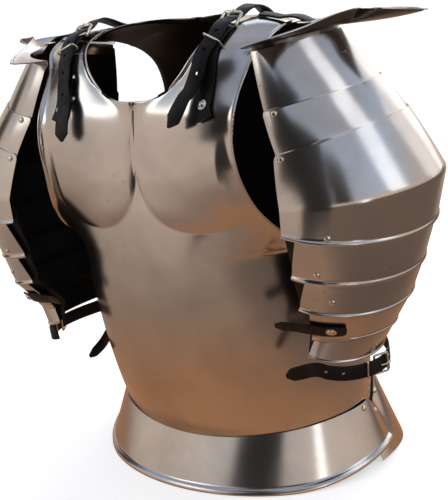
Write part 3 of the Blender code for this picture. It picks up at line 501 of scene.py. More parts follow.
def finish_plate(piece, mirrored=False, faces=(POLISHED, PAINTED_SHADE_INSIDE), rim=0):
    """Give a laid surface its mirror half, its thickness and its two finishes."""
    select_only(piece)
    for finish in faces:
        piece.data.materials.append(finish)
    if mirrored:
        fold = piece.modifiers.new("Mirror", "MIRROR")
        fold.merge_threshold = 0.0001
        bpy.ops.object.modifier_apply(modifier="Mirror")
    solid = piece.modifiers.new("Solidify", "SOLIDIFY")
    solid.thickness = PLATE
    solid.offset = -1
    solid.material_offset = 1
    solid.material_offset_rim = rim
    bpy.ops.object.modifier_apply(modifier="Solidify")
    bpy.ops.object.shade_smooth_by_angle(angle=radians(38))


def set_in_place(points):
    """Shift points from the armour's own frame to the shared one."""
    return np.asarray(points) + np.array((0, STAND_Y, 0))


def stretches(start, *ends):
    """Numbers over stretches, each given by its end and its number of even steps."""
    values = [[start]]
    for end, steps in ends:
        values.append(np.linspace(start, end, steps + 1)[1:])
        start = end
    return np.concatenate(values)


ACROSS = stretches(0, (0.056, 14), (0.94, 53), (1, 15))
FRONT_ROWS = stretches(0, (5, 30), (12.5, 87), (13.3, 22), (18.4, 45))
PLANISH_PASSES = 220
breast_points = torso_surface(ACROSS, FRONT_ROWS, 0, BEAD_RISE)[0]
# The hollow under the neck and the side under the arm are planished smooth
planished = np.outer(
    between(FRONT_ROWS, 11.2, 12.4, 13.8, 15.2), between(ACROSS, 0.0, 0.12, 0.90, 0.98))
planished += np.outer(between(FRONT_ROWS, 3.2, 4.4, 5.6, 6.6), ease(0.70, 0.86, ACROSS))
for _ in range(PLANISH_PASSES):
    evened = (breast_points[:-2] + breast_points[2:]) / 2
    breast_points[1:-1] += (evened - breast_points[1:-1]) * planished[1:-1, :, None] * 0.5
breast = laid_grid("breastplate_shell", set_in_place(breast_points))
finish_plate(breast, mirrored=True)
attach(breast, "cuirass")
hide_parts("breastplate")

REAR_ROWS = stretches(17.6, (21.6, 33), (22.4, 22), (31, 77), (36, 25))
lap = LAP * ease(REAR_SIDE_TOP - 0.6, REAR_SIDE_TOP, REAR_ROWS)
REAR_ACROSS = np.concatenate([ACROSS[::2], [1.03, 1.06, 1 + LAP]])
rear_across = REAR_ACROSS[None, :] * (1 + lap[:, None]) / (1 + LAP)
backing = laid_grid(
    "backplate_shell", set_in_place(torso_surface(rear_across, REAR_ROWS, STEP, BEAD_RISE)[0]))
finish_plate(backing, mirrored=True)
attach(backing, "cuirass")
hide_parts("backplate")


# Faulds
# Two flared plates below the waist, one at the front and one behind, lapped at the sides and
# riveted to the torso. The front one's lower edge is rolled outward over a wire.
# The lower rim's half-width, half-depth and centre, and the gaps at the floor and the waist
RIM_HALF_WIDTH, RIM_HALF_DEPTH, RIM_Y = 0.2195, 0.1628, 0.0594
FLOOR_GAP, WAIST_GAP = 0.0006, 0.0005
# Top edges: of the front plate in the middle and at its flanks, where the two lap, and behind
FRONT_TOP, FLANK_TOP, LAP_TOP, REAR_TOP = 0.062, 0.079, 0.067, 0.092
ROLL_HEIGHT, ROLL_OUT = 0.0075, 0.0030
FRONT_LIFT, REAR_LIFT, REAR_SPREAD = 0.0175, 0.004, 0.004


def torso_at(angle, height):
    """The torso's surface and outward direction at an angle from the front and a height."""
    turn = abs((angle + pi) % (2 * pi) - pi)
    front = turn <= pi / 2
    across = turn / (pi / 2) if front else (pi - turn) / (pi / 2)
    low, high = (0.0, 6.0) if front else (len(TORSO) - 1.0, float(REAR_SIDE_TOP))
    for _ in range(24):
        middle = (low + high) / 2
        if bare_torso([across], [middle])[0][0, 0, 2] < height:
            low = middle
        else:
            high = middle
    step = 0.01
    point = bare_torso([across], [low])[0][0, 0]
    side = bare_torso([across + step], [low])[0] - bare_torso([across - step], [low])[0]
    last = len(TORSO) - 1
    rise = (bare_torso([across], [min(last, low + step)])[0]
            - bare_torso([across], [max(0, low - step)])[0])
    normal = unit(np.cross(side[0, 0], rise[0, 0]))
    mirror = np.array((-1 if sin(angle) < 0 else 1, 1, 1))
    return point * mirror, normal * mirror


def fauld_grid(turns, outline):
    """The fauld over angles: outline(degrees) gives its top and rows of (height, out)."""
    grid = []
    for turn in turns:
        angle = radians(turn)
        top, rows, lapped = outline(turn)
        waist, normal = torso_at(angle, top)
        upper = waist + normal * (PLATE + WAIST_GAP + STEP * lapped)
        lower = np.array((RIM_HALF_WIDTH * sin(angle), RIM_Y - RIM_HALF_DEPTH * cos(angle), 0))
        flat = unit(np.array((normal[0], normal[1], 0)))
        line = []
        for height, out in rows:
            point = lower + (upper - lower) * height / top + flat * out
            point[2] = height + FLOOR_GAP * (1 - ease(0.0, 0.04, height))
            line.append(point)
        grid.append(line)
    return np.array(grid).transpose(1, 0, 2)


def front_outline(turn):
    """Rows of the front fauld from its rolled rim to its top edge."""
    size = abs(turn)
    lift = FRONT_LIFT * ease(38, 96, size)
    top = FRONT_TOP + (FLANK_TOP - FRONT_TOP) * sin(radians(turn)) ** 2
    top += (LAP_TOP - top) * ease(89, 97, size)
    rows = []
    for share in np.linspace(0, 1, 10):
        curl = sin(pi * min(1, 0.22 + 0.78 * share)) ** 0.8
        rows.append((lift + ROLL_HEIGHT * share, ROLL_OUT * curl))
    plain = lift + ROLL_HEIGHT
    rows += [(plain + (top - plain) * k / 22, 0.0) for k in range(1, 23)]
    return top, rows, ease(64, 82, size)


def rear_outline(turn):
    """Rows of the rear fauld, which lies inside the front one where they lap."""
    past = abs(abs(turn) - 180)
    top = REAR_TOP + (LAP_TOP - REAR_TOP) * ease(70, 82, past)
    lift = REAR_LIFT * ease(72, 92, past)
    spread = REAR_SPREAD * (1 - ease(66, 81, past))
    rows = [(lift + (top - lift) * k / 26, spread * (1 - k / 26) - STEP) for k in range(27)]
    return top, rows, 1.0


for name, node, turns, outline in (
        ("front_fauld_plate", "front_fauld", np.linspace(-97, 97, 195), front_outline),
        ("rear_fauld_plate", "rear_fauld", np.linspace(84, 276, 161), rear_outline)):
    plate = laid_grid(name, set_in_place(fauld_grid(turns, outline)))
    finish_plate(plate)
    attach(plate, "cuirass")
    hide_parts(node)


# Pauldrons
# Seven overlapping plates over each shoulder and upper arm, each lower edge rolled to a bead.
# The second and the main plate turn on rivets, and the lames hang on leather bands inside.
# Columns: centre x and half-width, half-length and centre y, height at the ends and outside
PAULDRON = np.array((
    (0.853, 0.334, 0.555, 0.113, 1.089, 1.108), (0.975, 0.433, 0.690, 0.088, 0.967, 1.002),
    (1.092, 0.458, 0.784, 0.054, 0.879, 0.930), (1.173, 0.599, 0.907, 0.028, 0.769, 0.787),
    (1.160, 0.538, 0.887, -0.002, 0.708, 0.674), (1.148, 0.464, 0.803, -0.020, 0.607, 0.578),
    (1.139, 0.390, 0.730, -0.053, 0.531, 0.501), (1.082, 0.345, 0.510, -0.063, 0.437, 0.435),
    (1.067, 0.255, 0.515, -0.086, 0.399, 0.370),
))
ARC_END = radians(100)
SLIDE = PLATE + 0.0010


def section_point(level, degrees_round, out=0.0):
    """A point of the pauldron's form at a level and an angle round it."""
    level = np.asarray(level, float)
    low = np.minimum(level.astype(int), len(PAULDRON) - 2)
    share = (level - low)[..., None]
    values = PAULDRON[low] * (1 - share) + PAULDRON[low + 1] * share
    angle = np.radians(degrees_round)
    bow = (np.cos(angle) - cos(ARC_END)) / (1 - cos(ARC_END))
    return np.stack([
        values[..., 0] * HALF_WIDTH + (values[..., 1] * HALF_WIDTH + out) * np.cos(angle),
        values[..., 3] * HALF_DEPTH + (values[..., 2] * HALF_DEPTH + out) * np.sin(angle),
        (values[..., 4] + (values[..., 5] - values[..., 4]) * bow) * BODY_HEIGHT,
    ], axis=-1)


# Columns: name, lower level, upper level, arc at the top and at the bottom in degrees,
# inset, level above which it is hidden, rolled ridge, body
PLATES = (
    ("top_plate", 1.16, 0.0, 97, 97, 2 * SLIDE, 0.0, 0.0, "cuirass"),
    ("second_plate", 2.14, 1.0, 98, 98, SLIDE, 1.0, 0.0, "second"),
    ("main_plate", 4.0, 2.0, 99, 99, 0.0, 2.0, 0.0019, "main"),
    ("lame_4", 5.0, 3.8, 90, 99, STEP, 4.0, 0.0019, "main"),
    ("lame_5", 6.0, 4.8, 88, 98, STEP, 5.0, 0.0019, "main"),
    ("lame_6", 7.0, 5.8, 88, 93, STEP, 6.0, 0.0019, "main"),
    ("lame_7", 8.0, 6.8, 91, 98, STEP, 7.0, 0.0019, "main"),
)
RIDGE_SHARE = 0.11
BULGE = 0.0011
TUCK_IN, TUCK_UP = 0.012, 0.05
LIP = 0.0004
CORNER_CUT = 4.5
SIDES = {"left": 1, "right": -1}
for name, low, high, top_arc, low_arc, inset, hidden, ridge, group in PLATES:
    body_rows = np.linspace(high, low - RIDGE_SHARE, max(8, int((low - high) * 16)))
    levels = np.concatenate([body_rows[:-1], np.linspace(low - RIDGE_SHARE, low, 12)])
    if group == "second" or name == "main_plate":
        levels = np.union1d(levels, high + np.array((0.006, 0.012, 0.02, 0.03, 0.045, 0.07, 0.10)))
    levels = levels[::-1]
    turns = np.linspace(-1, 1, 97)
    seen = np.maximum(levels, hidden)
    tucked = np.maximum(0, hidden - levels)
    arc = top_arc + (low_arc - top_arc) * (seen - hidden) / (low - hidden)
    roll = np.clip((levels - low + RIDGE_SHARE) / RIDGE_SHARE, 0, 1)
    out = ridge * np.sin(roll * pi * 0.72) ** 1.3 - inset - tucked * TUCK_IN
    if name in ("top_plate", "second_plate", "main_plate"):
        upper = np.clip((levels - high) / (min(low, 3.0) - high), 0, 1)
        out += BULGE * np.sin(pi * upper)
    if name in ("second_plate", "main_plate"):
        out += LIP * np.exp(-((levels - high) / 0.014) ** 2)
        corner = np.clip((levels - high) / 0.14, 0, 1)
        arc = arc - CORNER_CUT * (1 - np.sqrt(1 - (1 - corner) ** 2))
    grid = section_point(
        np.repeat(seen[:, None], len(turns), axis=1), arc[:, None] * turns[None, :], out[:, None])
    grid[..., 2] += tucked[:, None] * TUCK_UP
    for hand, side in SIDES.items():
        plate = laid_grid(
            hand + "_" + name + "_steel", set_in_place(grid * (side, 1, 1)), flip=side < 0)
        finish_plate(plate)
        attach(plate, "cuirass" if group == "cuirass" else hand + "_" + group)
        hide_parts(hand + "_" + name)


# Wings
# A flaring steel wing above each top plate, dished where it meets the neck of the arm and
# drawn out to a point behind, with a narrow hem round its edge.
# Columns: angle, the rim's x, y and z as shares, and how far the belly sags
WING = (
    (-97, 0.901, -0.743, 1.108, 0.000), (-80, 0.968, -0.623, 1.115, 0.000),
    (-60, 1.046, -0.453, 1.121, 0.000), (-40, 1.114, -0.255, 1.128, 0.001),
    (-20, 1.186, -0.028, 1.139, 0.002), (0, 1.298, 0.184, 1.148, 0.004),
    (12, 1.453, 0.226, 1.143, 0.005), (24, 1.637, 0.510, 1.126, 0.004),
    (38, 1.500, 0.640, 1.131, 0.004), (56, 1.330, 0.780, 1.130, 0.004),
    (76, 1.150, 0.880, 1.125, 0.003), (97, 0.940, 0.930, 1.118, 0.002),
)
# The foot's level inside the top plate, and the rise and width of the hem
WING_FOOT = 0.16
NECK_RISE = 0.0045
HEM_RISE, HEM_SHARE, HEM_WIDTH = 0.0011, 0.965, 0.035
# The wing's laid faces take a darkened copy of the polished steel, a painted shade. Its solidified
# back and its edge stay polished.
WING_PAINTED_SHADE = metal_finish(
    "wing steel with painted shade", (0.20, 0.19, 0.18), (0.12, 0.12, 0.12), (0.08, 0.06, 0.05), (0.18, 0.30), 0.05)
wing_turns = np.linspace(0, len(WING) - 1, 111)
wing_columns = tuple(zip(*WING))
wing_rows = np.array(
    [[through_rows(column, turn) for column in wing_columns] for turn in wing_turns])
foot, root = (
    section_point(np.full(len(wing_turns), level), wing_rows[:, 0], -3 * SLIDE)
    for level in (WING_FOOT, 0.0))
neck = root + (0, 0, NECK_RISE)
rim = wing_rows[:, 1:4] * (HALF_WIDTH, HALF_DEPTH, BODY_HEIGHT)
belly = neck + (rim - neck) * 0.55
belly[:, 2] = neck[:, 2] + (rim[:, 2] - neck[:, 2]) * 0.25 - wing_rows[:, 4]
lines = [foot, foot * 0.5 + root * 0.5, root]
for share in np.concatenate([np.linspace(0, 0.9, 14), np.linspace(0.915, 1, 7)]):
    lower, upper = neck + (belly - neck) * share, belly + (rim - belly) * share
    line = lower + (upper - lower) * share
    hem = HEM_RISE * max(0.0, 1 - abs(share - HEM_SHARE) / HEM_WIDTH)
    lines.append(line + (0, 0, hem))
wing_grid = np.array(lines)
for hand, side in SIDES.items():
    wing = laid_grid(hand + "_wing_steel", set_in_place(wing_grid * (side, 1, 1)), flip=side < 0)
    finish_plate(wing, faces=(WING_PAINTED_SHADE, POLISHED), rim=1)
    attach(wing, "cuirass")
    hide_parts(hand + "_wing")


# Shoulder straps
# Black harness leather, 2.5 mm thick: a short strap riveted to the chest carries a roller
# buckle, and a long one from the back passes through it and a wire keeper, and hangs free.
LEATHER_THICK = 0.0025
STRAP_WIDTH = 0.019
HOLE_RADIUS = 0.0021
LEATHER, hide, hide_shader = new_finish(
    "black harness leather", (("Specular IOR Level", 0.22),))
hide_place = add_node(hide, "ShaderNodeTexCoord")
pores = add_node(hide, "ShaderNodeTexVoronoi", (
    ("Vector", hide_place.outputs["Object"]), ("Scale", 900.0)), feature="SMOOTH_F1")
creases = add_node(hide, "ShaderNodeTexNoise", (
    ("Vector", hide_place.outputs["Object"]), ("Scale", 140.0), ("Detail", 5.0),
    ("Roughness", 0.6)))
rub = add_node(hide, "ShaderNodeTexNoise", (
    ("Vector", hide_place.outputs["Object"]), ("Scale", 22.0), ("Detail", 3.0)))
rubbed = add_node(hide, "ShaderNodeMapRange", (
    ("Value", rub.outputs[0]), ("From Min", 0.4), ("From Max", 0.7)))
hide.links.new(mixed(hide, rubbed.outputs[0], (0.004, 0.004, 0.005, 1), (0.012, 0.012, 0.014, 1)),
               hide_shader.inputs["Base Color"])
hide_gloss = add_node(hide, "ShaderNodeMapRange", (
    ("Value", creases.outputs[0]), ("From Min", 0.3), ("From Max", 0.7),
    ("To Min", 0.36), ("To Max", 0.56)))
hide.links.new(hide_gloss.outputs[0], hide_shader.inputs["Roughness"])
grain_sum = add_node(hide, "ShaderNodeMath", (
    (0, pores.outputs["Distance"]), (1, creases.outputs[0])), operation="ADD")
hide_bump = add_node(hide, "ShaderNodeBump", (
    ("Height", grain_sum.outputs[0]), ("Strength", 0.25), ("Distance", 0.0006)))
hide.links.new(hide_bump.outputs[0], hide_shader.inputs["Normal"])


def smooth_route(stations, steps):
    """A smooth route through a strap's stations of (point, facing, width)."""
    table = np.array([(*point, *facing, width) for point, facing, width in stations], float)
    before = np.vstack([2 * table[0] - table[1], table[:-1]])
    after = np.vstack([table[1:], 2 * table[-1] - table[-2]])
    slope = (after - before) / 2
    rows = []
    for place in range(len(table) - 1):
        for share in np.linspace(0, 1, steps, endpoint=False):
            a, b = share * share, share ** 3
            row = ((2 * b - 3 * a + 1) * table[place] + (b - 2 * a + share) * slope[place]
                   + (3 * a - 2 * b) * table[place + 1] + (b - a) * slope[place + 1])
            row[6] = table[place, 6] + (table[place + 1, 6] - table[place, 6]) * share
            rows.append(row)
    rows.append(table[-1])
    rows = np.array(rows)
    rows[:, 3:6] = unit(rows[:, 3:6])
    return rows


# A strap's cross-section, with its edges rounded: share of the half-width, share of the thickness
STRAP_EDGE = (
    (-0.90, 0.00), (0.90, 0.00), (0.97, 0.10), (1.00, 0.35), (1.00, 0.65), (0.97, 0.90),
    (0.90, 1.00), (-0.90, 1.00), (-0.97, 0.90), (-1.00, 0.65), (-1.00, 0.35), (-0.97, 0.10),
)


def new_piece(name, vertices, faces, *finishes):
    """A piece from its vertices and faces, with its finishes."""
    mesh = bpy.data.meshes.new(name)
    mesh.from_pydata(vertices, [], faces)
    for finish in finishes:
        mesh.materials.append(finish)
    return add_object(name, mesh)


def take_place(piece, hand, group, node, sharp):
    """Smooth a piece up to a sharp angle, and put it on its body in its solid's place."""
    select_only(piece)
    bpy.ops.object.shade_smooth_by_angle(angle=radians(sharp))
    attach(piece, group if group == "cuirass" else hand + "_" + group)
    if node:
        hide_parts(hand + "_" + node)


def cut_strap(hand, name, stations, group, node, holes=(), steps=7):
    """A strap along its route, with punched holes at lengths from its start."""
    side = (SIDES[hand], 1, 1)
    rows = smooth_route(stations, steps)
    ahead = np.gradient(rows[:, 0:3], axis=0)
    across = unit(np.cross(ahead, rows[:, 3:6]))
    lift = unit(np.cross(across, ahead))
    lift *= np.sign(np.sum(lift * rows[:, 3:6], axis=1))[:, None]
    outline = np.array(STRAP_EDGE)
    rings = (rows[:, None, 0:3] + across[:, None] * (outline[None, :, 0:1] * rows[:, None, 6:7] / 2)
             + lift[:, None] * outline[None, :, 1:2] * LEATHER_THICK)
    rings = set_in_place(rings * side)
    count = len(outline)
    faces = [
        (row * count + k, row * count + (k + 1) % count,
         (row + 1) * count + (k + 1) % count, (row + 1) * count + k)
        for row in range(len(rings) - 1) for k in range(count)]
    faces.append(tuple(range(count)))
    faces.append(tuple(range((len(rings) - 1) * count, len(rings) * count)))
    leather = new_piece(hand + "_" + name, rings.reshape(-1, 3).tolist(), faces, LEATHER)
    shape = bmesh.new()
    shape.from_mesh(leather.data)
    bmesh.ops.recalc_face_normals(shape, faces=shape.faces)
    shape.to_mesh(leather.data)
    shape.free()
    run = np.concatenate([[0], np.cumsum(np.linalg.norm(np.diff(rows[:, 0:3], axis=0), axis=1))])
    for length in holes:
        place = int(np.argmin(np.abs(run - length)))
        spot = set_in_place((rows[place, 0:3] + lift[place] * LEATHER_THICK / 2) * side)
        facing = Vector(lift[place] * side)
        bpy.ops.mesh.primitive_cylinder_add(
            vertices=20, radius=HOLE_RADIUS, depth=0.008, location=spot,
            rotation=facing.to_track_quat("Z", "Y").to_euler())
        punch = bpy.context.object
        bpy.context.view_layer.objects.active = leather
        cut = leather.modifiers.new("Hole", "BOOLEAN")
        cut.object = punch
        cut.operation = "DIFFERENCE"
        bpy.ops.object.modifier_apply(modifier="Hole")
        bpy.data.objects.remove(punch)
    take_place(leather, hand, group, node, 40)


def on_torso(across, place, lift, width=STRAP_WIDTH):
    """A strap's station over the torso's surface."""
    points, normals = torso_surface([across], [place], -lift)
    return points[0, 0], normals[0, 0], width


NICKEL = metal_finish(
    "nickel fittings", (0.72, 0.69, 0.62), (0.62, 0.58, 0.48), (0.30, 0.22, 0.10), (0.14, 0.24),
    0.02)
# Dark steel for the washer rings under the chest rivets, and for the top plate's rivet, where it is a
# painted dark reflection.
DARK_STEEL_AND_PAINTED_REFLECTION = metal_finish(
    "dark steel and painted reflection", (0.10, 0.10, 0.10), (0.05, 0.05, 0.05), (0.05, 0.03, 0.02), (0.25, 0.40), 0.03)
BEND = 0.0022


def bent_wire(hand, name, corners, radius, group, node, closed=True, roller=False):
    """A nickel wire bent round its corners, with a roller on its first side if it has one."""
    count = len(corners)
    corners = [np.array(corner) * (SIDES[hand], 1, 1) for corner in corners]
    path = []
    for place, corner in enumerate(corners):
        if not closed and place in (0, count - 1):
            path.append(corner)
            continue
        runs = [corners[place - 1] - corner, corners[(place + 1) % count] - corner]
        reach = min(BEND, *(np.linalg.norm(run) / 2.2 for run in runs))
        first, last = (corner + unit(run) * reach for run in runs)
        for share in np.linspace(0, 1, 6):
            path.append(
                first * (1 - share) ** 2 + corner * 2 * share * (1 - share) + last * share ** 2)
    curve = bpy.data.curves.new(hand + "_" + name, "CURVE")
    curve.dimensions = "3D"
    curve.bevel_depth = radius
    curve.bevel_resolution = 3
    curve.use_fill_caps = True
    line = curve.splines.new("POLY")
    line.points.add(len(path) - 1)
    for spot, point in zip(line.points, path):
        spot.co = (*set_in_place(point), 1)
    line.use_cyclic_u = closed
    select_only(add_object(hand + "_" + name, curve))
    bpy.ops.object.convert(target="MESH")
    bent = bpy.context.object
    if roller:
        left, right = (Vector(set_in_place(corner)) for corner in corners[:2])
        run = left - right
        bpy.ops.mesh.primitive_cylinder_add(
            vertices=20, radius=radius * 1.55, depth=run.length * 0.78, location=(left + right) / 2,
            rotation=run.to_track_quat("Z", "Y").to_euler())
        bpy.ops.object.mode_set(mode="EDIT")
        bpy.ops.mesh.select_all(action="SELECT")
        bpy.ops.mesh.bevel(offset=radius * 0.3, segments=2)
        bpy.ops.object.mode_set(mode="OBJECT")
        bent.select_set(True)
        bpy.context.view_layer.objects.active = bent
        bpy.ops.object.join()
    bent.data.materials.clear()
    bent.data.materials.append(NICKEL)
    bpy.ops.object.transform_apply(location=True, rotation=True, scale=True)
    take_place(bent, hand, group, node, 35)


def domed_rivet(
        hand, name, spot, facing, group, node=None, washer=0.0, radius=0.0042, height=0.0024,
        finish=NICKEL, dark_washer=False):
    """A hammered rivet head on a surface, with a washer under it if it has one."""
    side = (SIDES[hand], 1, 1)
    thick = 0.0009 if washer else 0.0
    profile = [
        (radius * sin(turn), height * cos(turn) + thick) for turn in np.linspace(0, pi / 2, 8)]
    if washer:
        profile += [(washer * 0.94, thick), (washer, thick * 0.6), (washer, 0)]
    profile.append((0, 0))
    facing = Vector(facing * side)
    turned = facing.to_track_quat("Z", "Y").to_matrix()
    seat = Vector(set_in_place(spot * side)) + facing.normalized() * 0.0002
    steps = 24
    vertices, faces = [], []
    for step in range(steps):
        turn = 2 * pi * step / steps
        for away, rise in profile[1:-1]:
            vertices.append(seat + turned @ Vector((away * cos(turn), away * sin(turn), rise)))
    ring = len(profile) - 2
    vertices += [seat + turned @ Vector((0, 0, profile[0][1])), seat]
    crown, base = len(vertices) - 2, len(vertices) - 1
    for step in range(steps):
        this, following = step * ring, (step + 1) % steps * ring
        faces.append((crown, this, following))
        faces.append((base, following + ring - 1, this + ring - 1))
        faces += [(this + k, this + k + 1, following + k + 1, following + k) for k in range(ring - 1)]
    head = new_piece(hand + "_" + name, vertices, faces, finish, DARK_STEEL_AND_PAINTED_REFLECTION)
    if dark_washer:
        for face in head.data.polygons:
            face.material_index = int(face.index % (ring + 1) >= ring - 1)
    take_place(head, hand, group, node, 35)


def wire_loop(hand, name, seat, shape, radius, group, node, roller=False):
    """A loop of wire round a strap; returns the run of the strap and its facing there.

    The seat is a spot, a spot ahead and the facing. The shape is the half-width, and the
    distance along and the height of the rear bar and of the front bar.
    """
    spot, ahead, facing = seat
    along = unit(ahead - spot)
    facing = unit(facing - along * (facing @ along))
    half_width, rear, front = shape
    across = unit(np.cross(along, facing)) * half_width
    back_bar, fore_bar = (spot + along * bar[0] + facing * bar[1] for bar in (rear, front))
    corners = [back_bar - across, back_bar + across, fore_bar + across, fore_bar - across]
    bent_wire(hand, name, corners, radius, group, node, roller=roller)
    return along, facing


# Columns: across, row, lift above the steel
CHEST_STRAP = (
    (0.735, 12.75, 0.0014), (0.71, 13.0, 0.0016), (0.677, 13.3, 0.0016), (0.63, 13.9, 0.0014),
    (0.57, 14.5, 0.0012), (0.48, 15.2, 0.0016), (0.38, 15.9, 0.0026), (0.30, 16.5, 0.0034),
    (0.28, 16.9, 0.0034), (0.265, 17.2, 0.0030), (0.26, 17.38, 0.0026),
)
SHOULDER_STRAP = (
    (0.50, 21.4, -0.0006), (0.49, 21.0, -0.0006), (0.46, 20.5, -0.0003), (0.42, 20.0, 0.0020),
    (0.38, 19.5, 0.0060), (0.34, 19.0, 0.0095), (0.30, 18.6, 0.0085), (0.265, 18.2, 0.0042),
    (0.25, 17.95, 0.0040), (0.25, 17.7, 0.0064), (0.255, 17.4, 0.0084), (0.27, 17.05, 0.0084),
    (0.285, 16.75, 0.0074), (0.287, 16.4, 0.0074),
)
# Its hanging end also has a width where it tapers
LOOSE_END = {
    "left": (
        (0.30, 15.9, 0.0082), (0.37, 15.3, 0.0088), (0.43, 14.6, 0.0098), (0.487, 13.96, 0.0110),
        (0.52, 13.4, 0.0120), (0.53, 12.95, 0.0130), (0.50, 12.6, 0.0138, 0.0188),
        (0.456, 12.27, 0.0145, 0.0022)),
    "right": (
        (0.33, 15.9, 0.0082), (0.38, 15.3, 0.0086), (0.46, 14.8, 0.0085), (0.54, 14.1, 0.0095),
        (0.60, 13.1, 0.0110), (0.615, 12.6, 0.0125), (0.615, 12.2, 0.0135, 0.0188),
        (0.610, 11.94, 0.0140, 0.0022)),
}
# The holes' distances from the strap's fixed end
STRAP_HOLES = {"left": (0.140, 0.166, 0.193), "right": (0.138, 0.161, 0.184, 0.211)}
# Half-width, then distance along and height of the rear and the front bar
SHOULDER_BUCKLE = (STRAP_WIDTH / 2 + 0.0022, (-0.0075, 0.0098), (0.0085, 0.0034))
SHOULDER_PRONG = ((0.0055, 0.0112), (0, 0.0128), (-0.0092, 0.0126))
KEEPER = (STRAP_WIDTH / 2 + 0.0030, (0, 0.0016), (0, 0.0121))
WASHER = 0.0062
for hand in SIDES:
    cut_strap(
        hand, "chest_leather", [on_torso(*row) for row in CHEST_STRAP], "cuirass", "chest_strap")
    cut_strap(
        hand, "shoulder_leather", [on_torso(*row) for row in SHOULDER_STRAP + LOOSE_END[hand]],
        "cuirass", "shoulder_strap", STRAP_HOLES[hand])
    spot, facing, _ = on_torso(0.25, 17.85, 0.0)
    along, facing = wire_loop(
        hand, "shoulder_roller_buckle", (spot, on_torso(0.25, 17.45, 0.0)[0], facing),
        SHOULDER_BUCKLE, 0.0017, "cuirass", "shoulder_buckle", roller=True)
    bent_wire(
        hand, "shoulder_tongue",
        [spot + along * run + facing * rise for run, rise in SHOULDER_PRONG], 0.0010, "cuirass",
        "shoulder_prong", closed=False)
    spot, facing, _ = on_torso(0.286, 16.62, 0.0)
    wire_loop(
        hand, "keeper_wire", (spot, on_torso(0.286, 16.22, 0.0)[0], facing), KEEPER, 0.0010,
        "cuirass", "strap_keeper")
    spot, facing, _ = on_torso(0.677, 13.3, 0.0016 + LEATHER_THICK)
    domed_rivet(
        hand, "chest_washer_rivet", spot, facing, "cuirass", "chest_rivet", washer=WASHER,
        dark_washer=True)


# Pauldron fittings
# Leather bands inside the lames, straps round the arm with buckles, and the rivets that the
# plates turn on or hang from. Every rivet is a domed steel head, peened over inside.
BAND_INSET = STEP + PLATE + 0.0008
BAND = ((4, 0.0030, 1.0), (5, 0.0034, 1.0), (6, 0.0042, 0.85), (7, 0.0048, 0.75))
ARM_DROP = 0.0135
# Columns: angle, width
WASHER_STRAP = ((-57, 0.010), (-61, 0.0165), (-70, 0.018), (-79, 0.018), (-88, 0.018))
# Columns: run forward, run outward, drop, width
WASHER_END = (
    (0.012, 0.0, 0.000, 0.016), (0.022, 0.001, -0.001, 0.015), (0.036, 0.004, -0.002, 0.016),
    (0.045, 0.006, -0.003, 0.006),
)
ARM_END = (
    (0.012, 0.0, 0.002, 0.017), (0.024, 0.001, 0.006, 0.017), (0.036, 0.002, 0.010, 0.016),
    (0.044, 0.003, 0.013, 0.005),
)
# Columns: angle, extra distance out
ARM_STRAP = (
    (90, 0.0), (72, 0.0012), (55, 0.003), (38, 0.0050), (20, 0.0075), (2, 0.0085), (-16, 0.0065),
    (-34, 0.0035), (-52, 0.002), (-70, 0.001), (-84, 0.0),
)
# Columns: x, y, z, facing x, facing y, width
RIGHT_END = (
    (0.1997, 0.0487, 0.1655, -0.50, 0.87, 0.018), (0.1978, 0.0420, 0.1615, -1.0, 0.2, 0.018),
    (0.1970, 0.0270, 0.1560, -1.0, 0.0, 0.018), (0.1935, 0.0070, 0.1485, -1.0, 0.0, 0.018),
    (0.1885, -0.0130, 0.1430, -1.0, 0.0, 0.017), (0.1885, -0.0300, 0.1380, -1.0, 0.0, 0.015),
    (0.1900, -0.0400, 0.1350, -1.0, 0.0, 0.005),
)
# Columns: across, row, lift
SUSPENSION = (
    (0.53, 18.6, 0.0014), (0.68, 18.6, 0.0014), (0.82, 18.6, 0.0018), (0.95, 18.55, 0.0050),
)
SUSPENSION_REST = ((0.186, 0.012, 0.5700), (0.205, 0.012, 0.5580))
# Half-width, then distance along and height of the rear and the front bar
ARM_BUCKLE = (0.009 + 0.0024, (-0.0075, LEATHER_THICK + 0.0026), (0.0085, -0.0030))
ARM_PRONG = (
    (0.0060, LEATHER_THICK + 0.0018), (0, LEATHER_THICK + 0.0052),
    (-0.0092, LEATHER_THICK + 0.0056),
)
ARM_KEEPER = (0.009 + 0.0018, (0, -0.0022), (0, LEATHER_THICK + 0.0022))
SUSPENSION_BUCKLE = (
    STRAP_WIDTH / 2 + 0.0024, (-0.0075, -0.0028), (0.0075, LEATHER_THICK + 0.0030))
SMALL_RIVET = {"radius": 0.0037, "height": 0.0021}
# Columns: name, level, angle, inset, body
LAME_RIVETS = (
    ("top_plate_rivet", 0.42, -8.6, 2 * SLIDE, "cuirass"),
    ("main_front_lame_rivet", 3.82, -69.5, 0.0, "main"),
    ("lame_4_front_rivet", 4.76, -78, STEP, "main"),
    ("lame_5_front_rivet", 5.52, -68, STEP, "main"),
    ("main_rear_lame_rivet", 3.80, 80, 0.0, "main"),
    ("lame_4_rear_rivet", 4.72, 80, STEP, "main"),
    ("lame_5_rear_rivet", 5.66, 80, STEP, "main"),
    ("lame_6_rear_rivet", 6.66, 80, STEP, "main"),
    ("lame_7_rear_rivet", 7.55, 80, STEP, "main"),
)


def on_pauldron(level, turn, out):
    """A point on the pauldron's form with its outward direction."""
    point = section_point(level, turn, out)
    across = section_point(level, turn + 1, out) - section_point(level, turn - 1, out)
    down = section_point(min(8, level + 0.05), turn, out) - section_point(level - 0.05, turn, out)
    return point, unit(-np.cross(across, down))


def outward(turn):
    """The level direction out of the arm at an angle round it."""
    return np.array((cos(radians(turn)), sin(radians(turn)), 0))


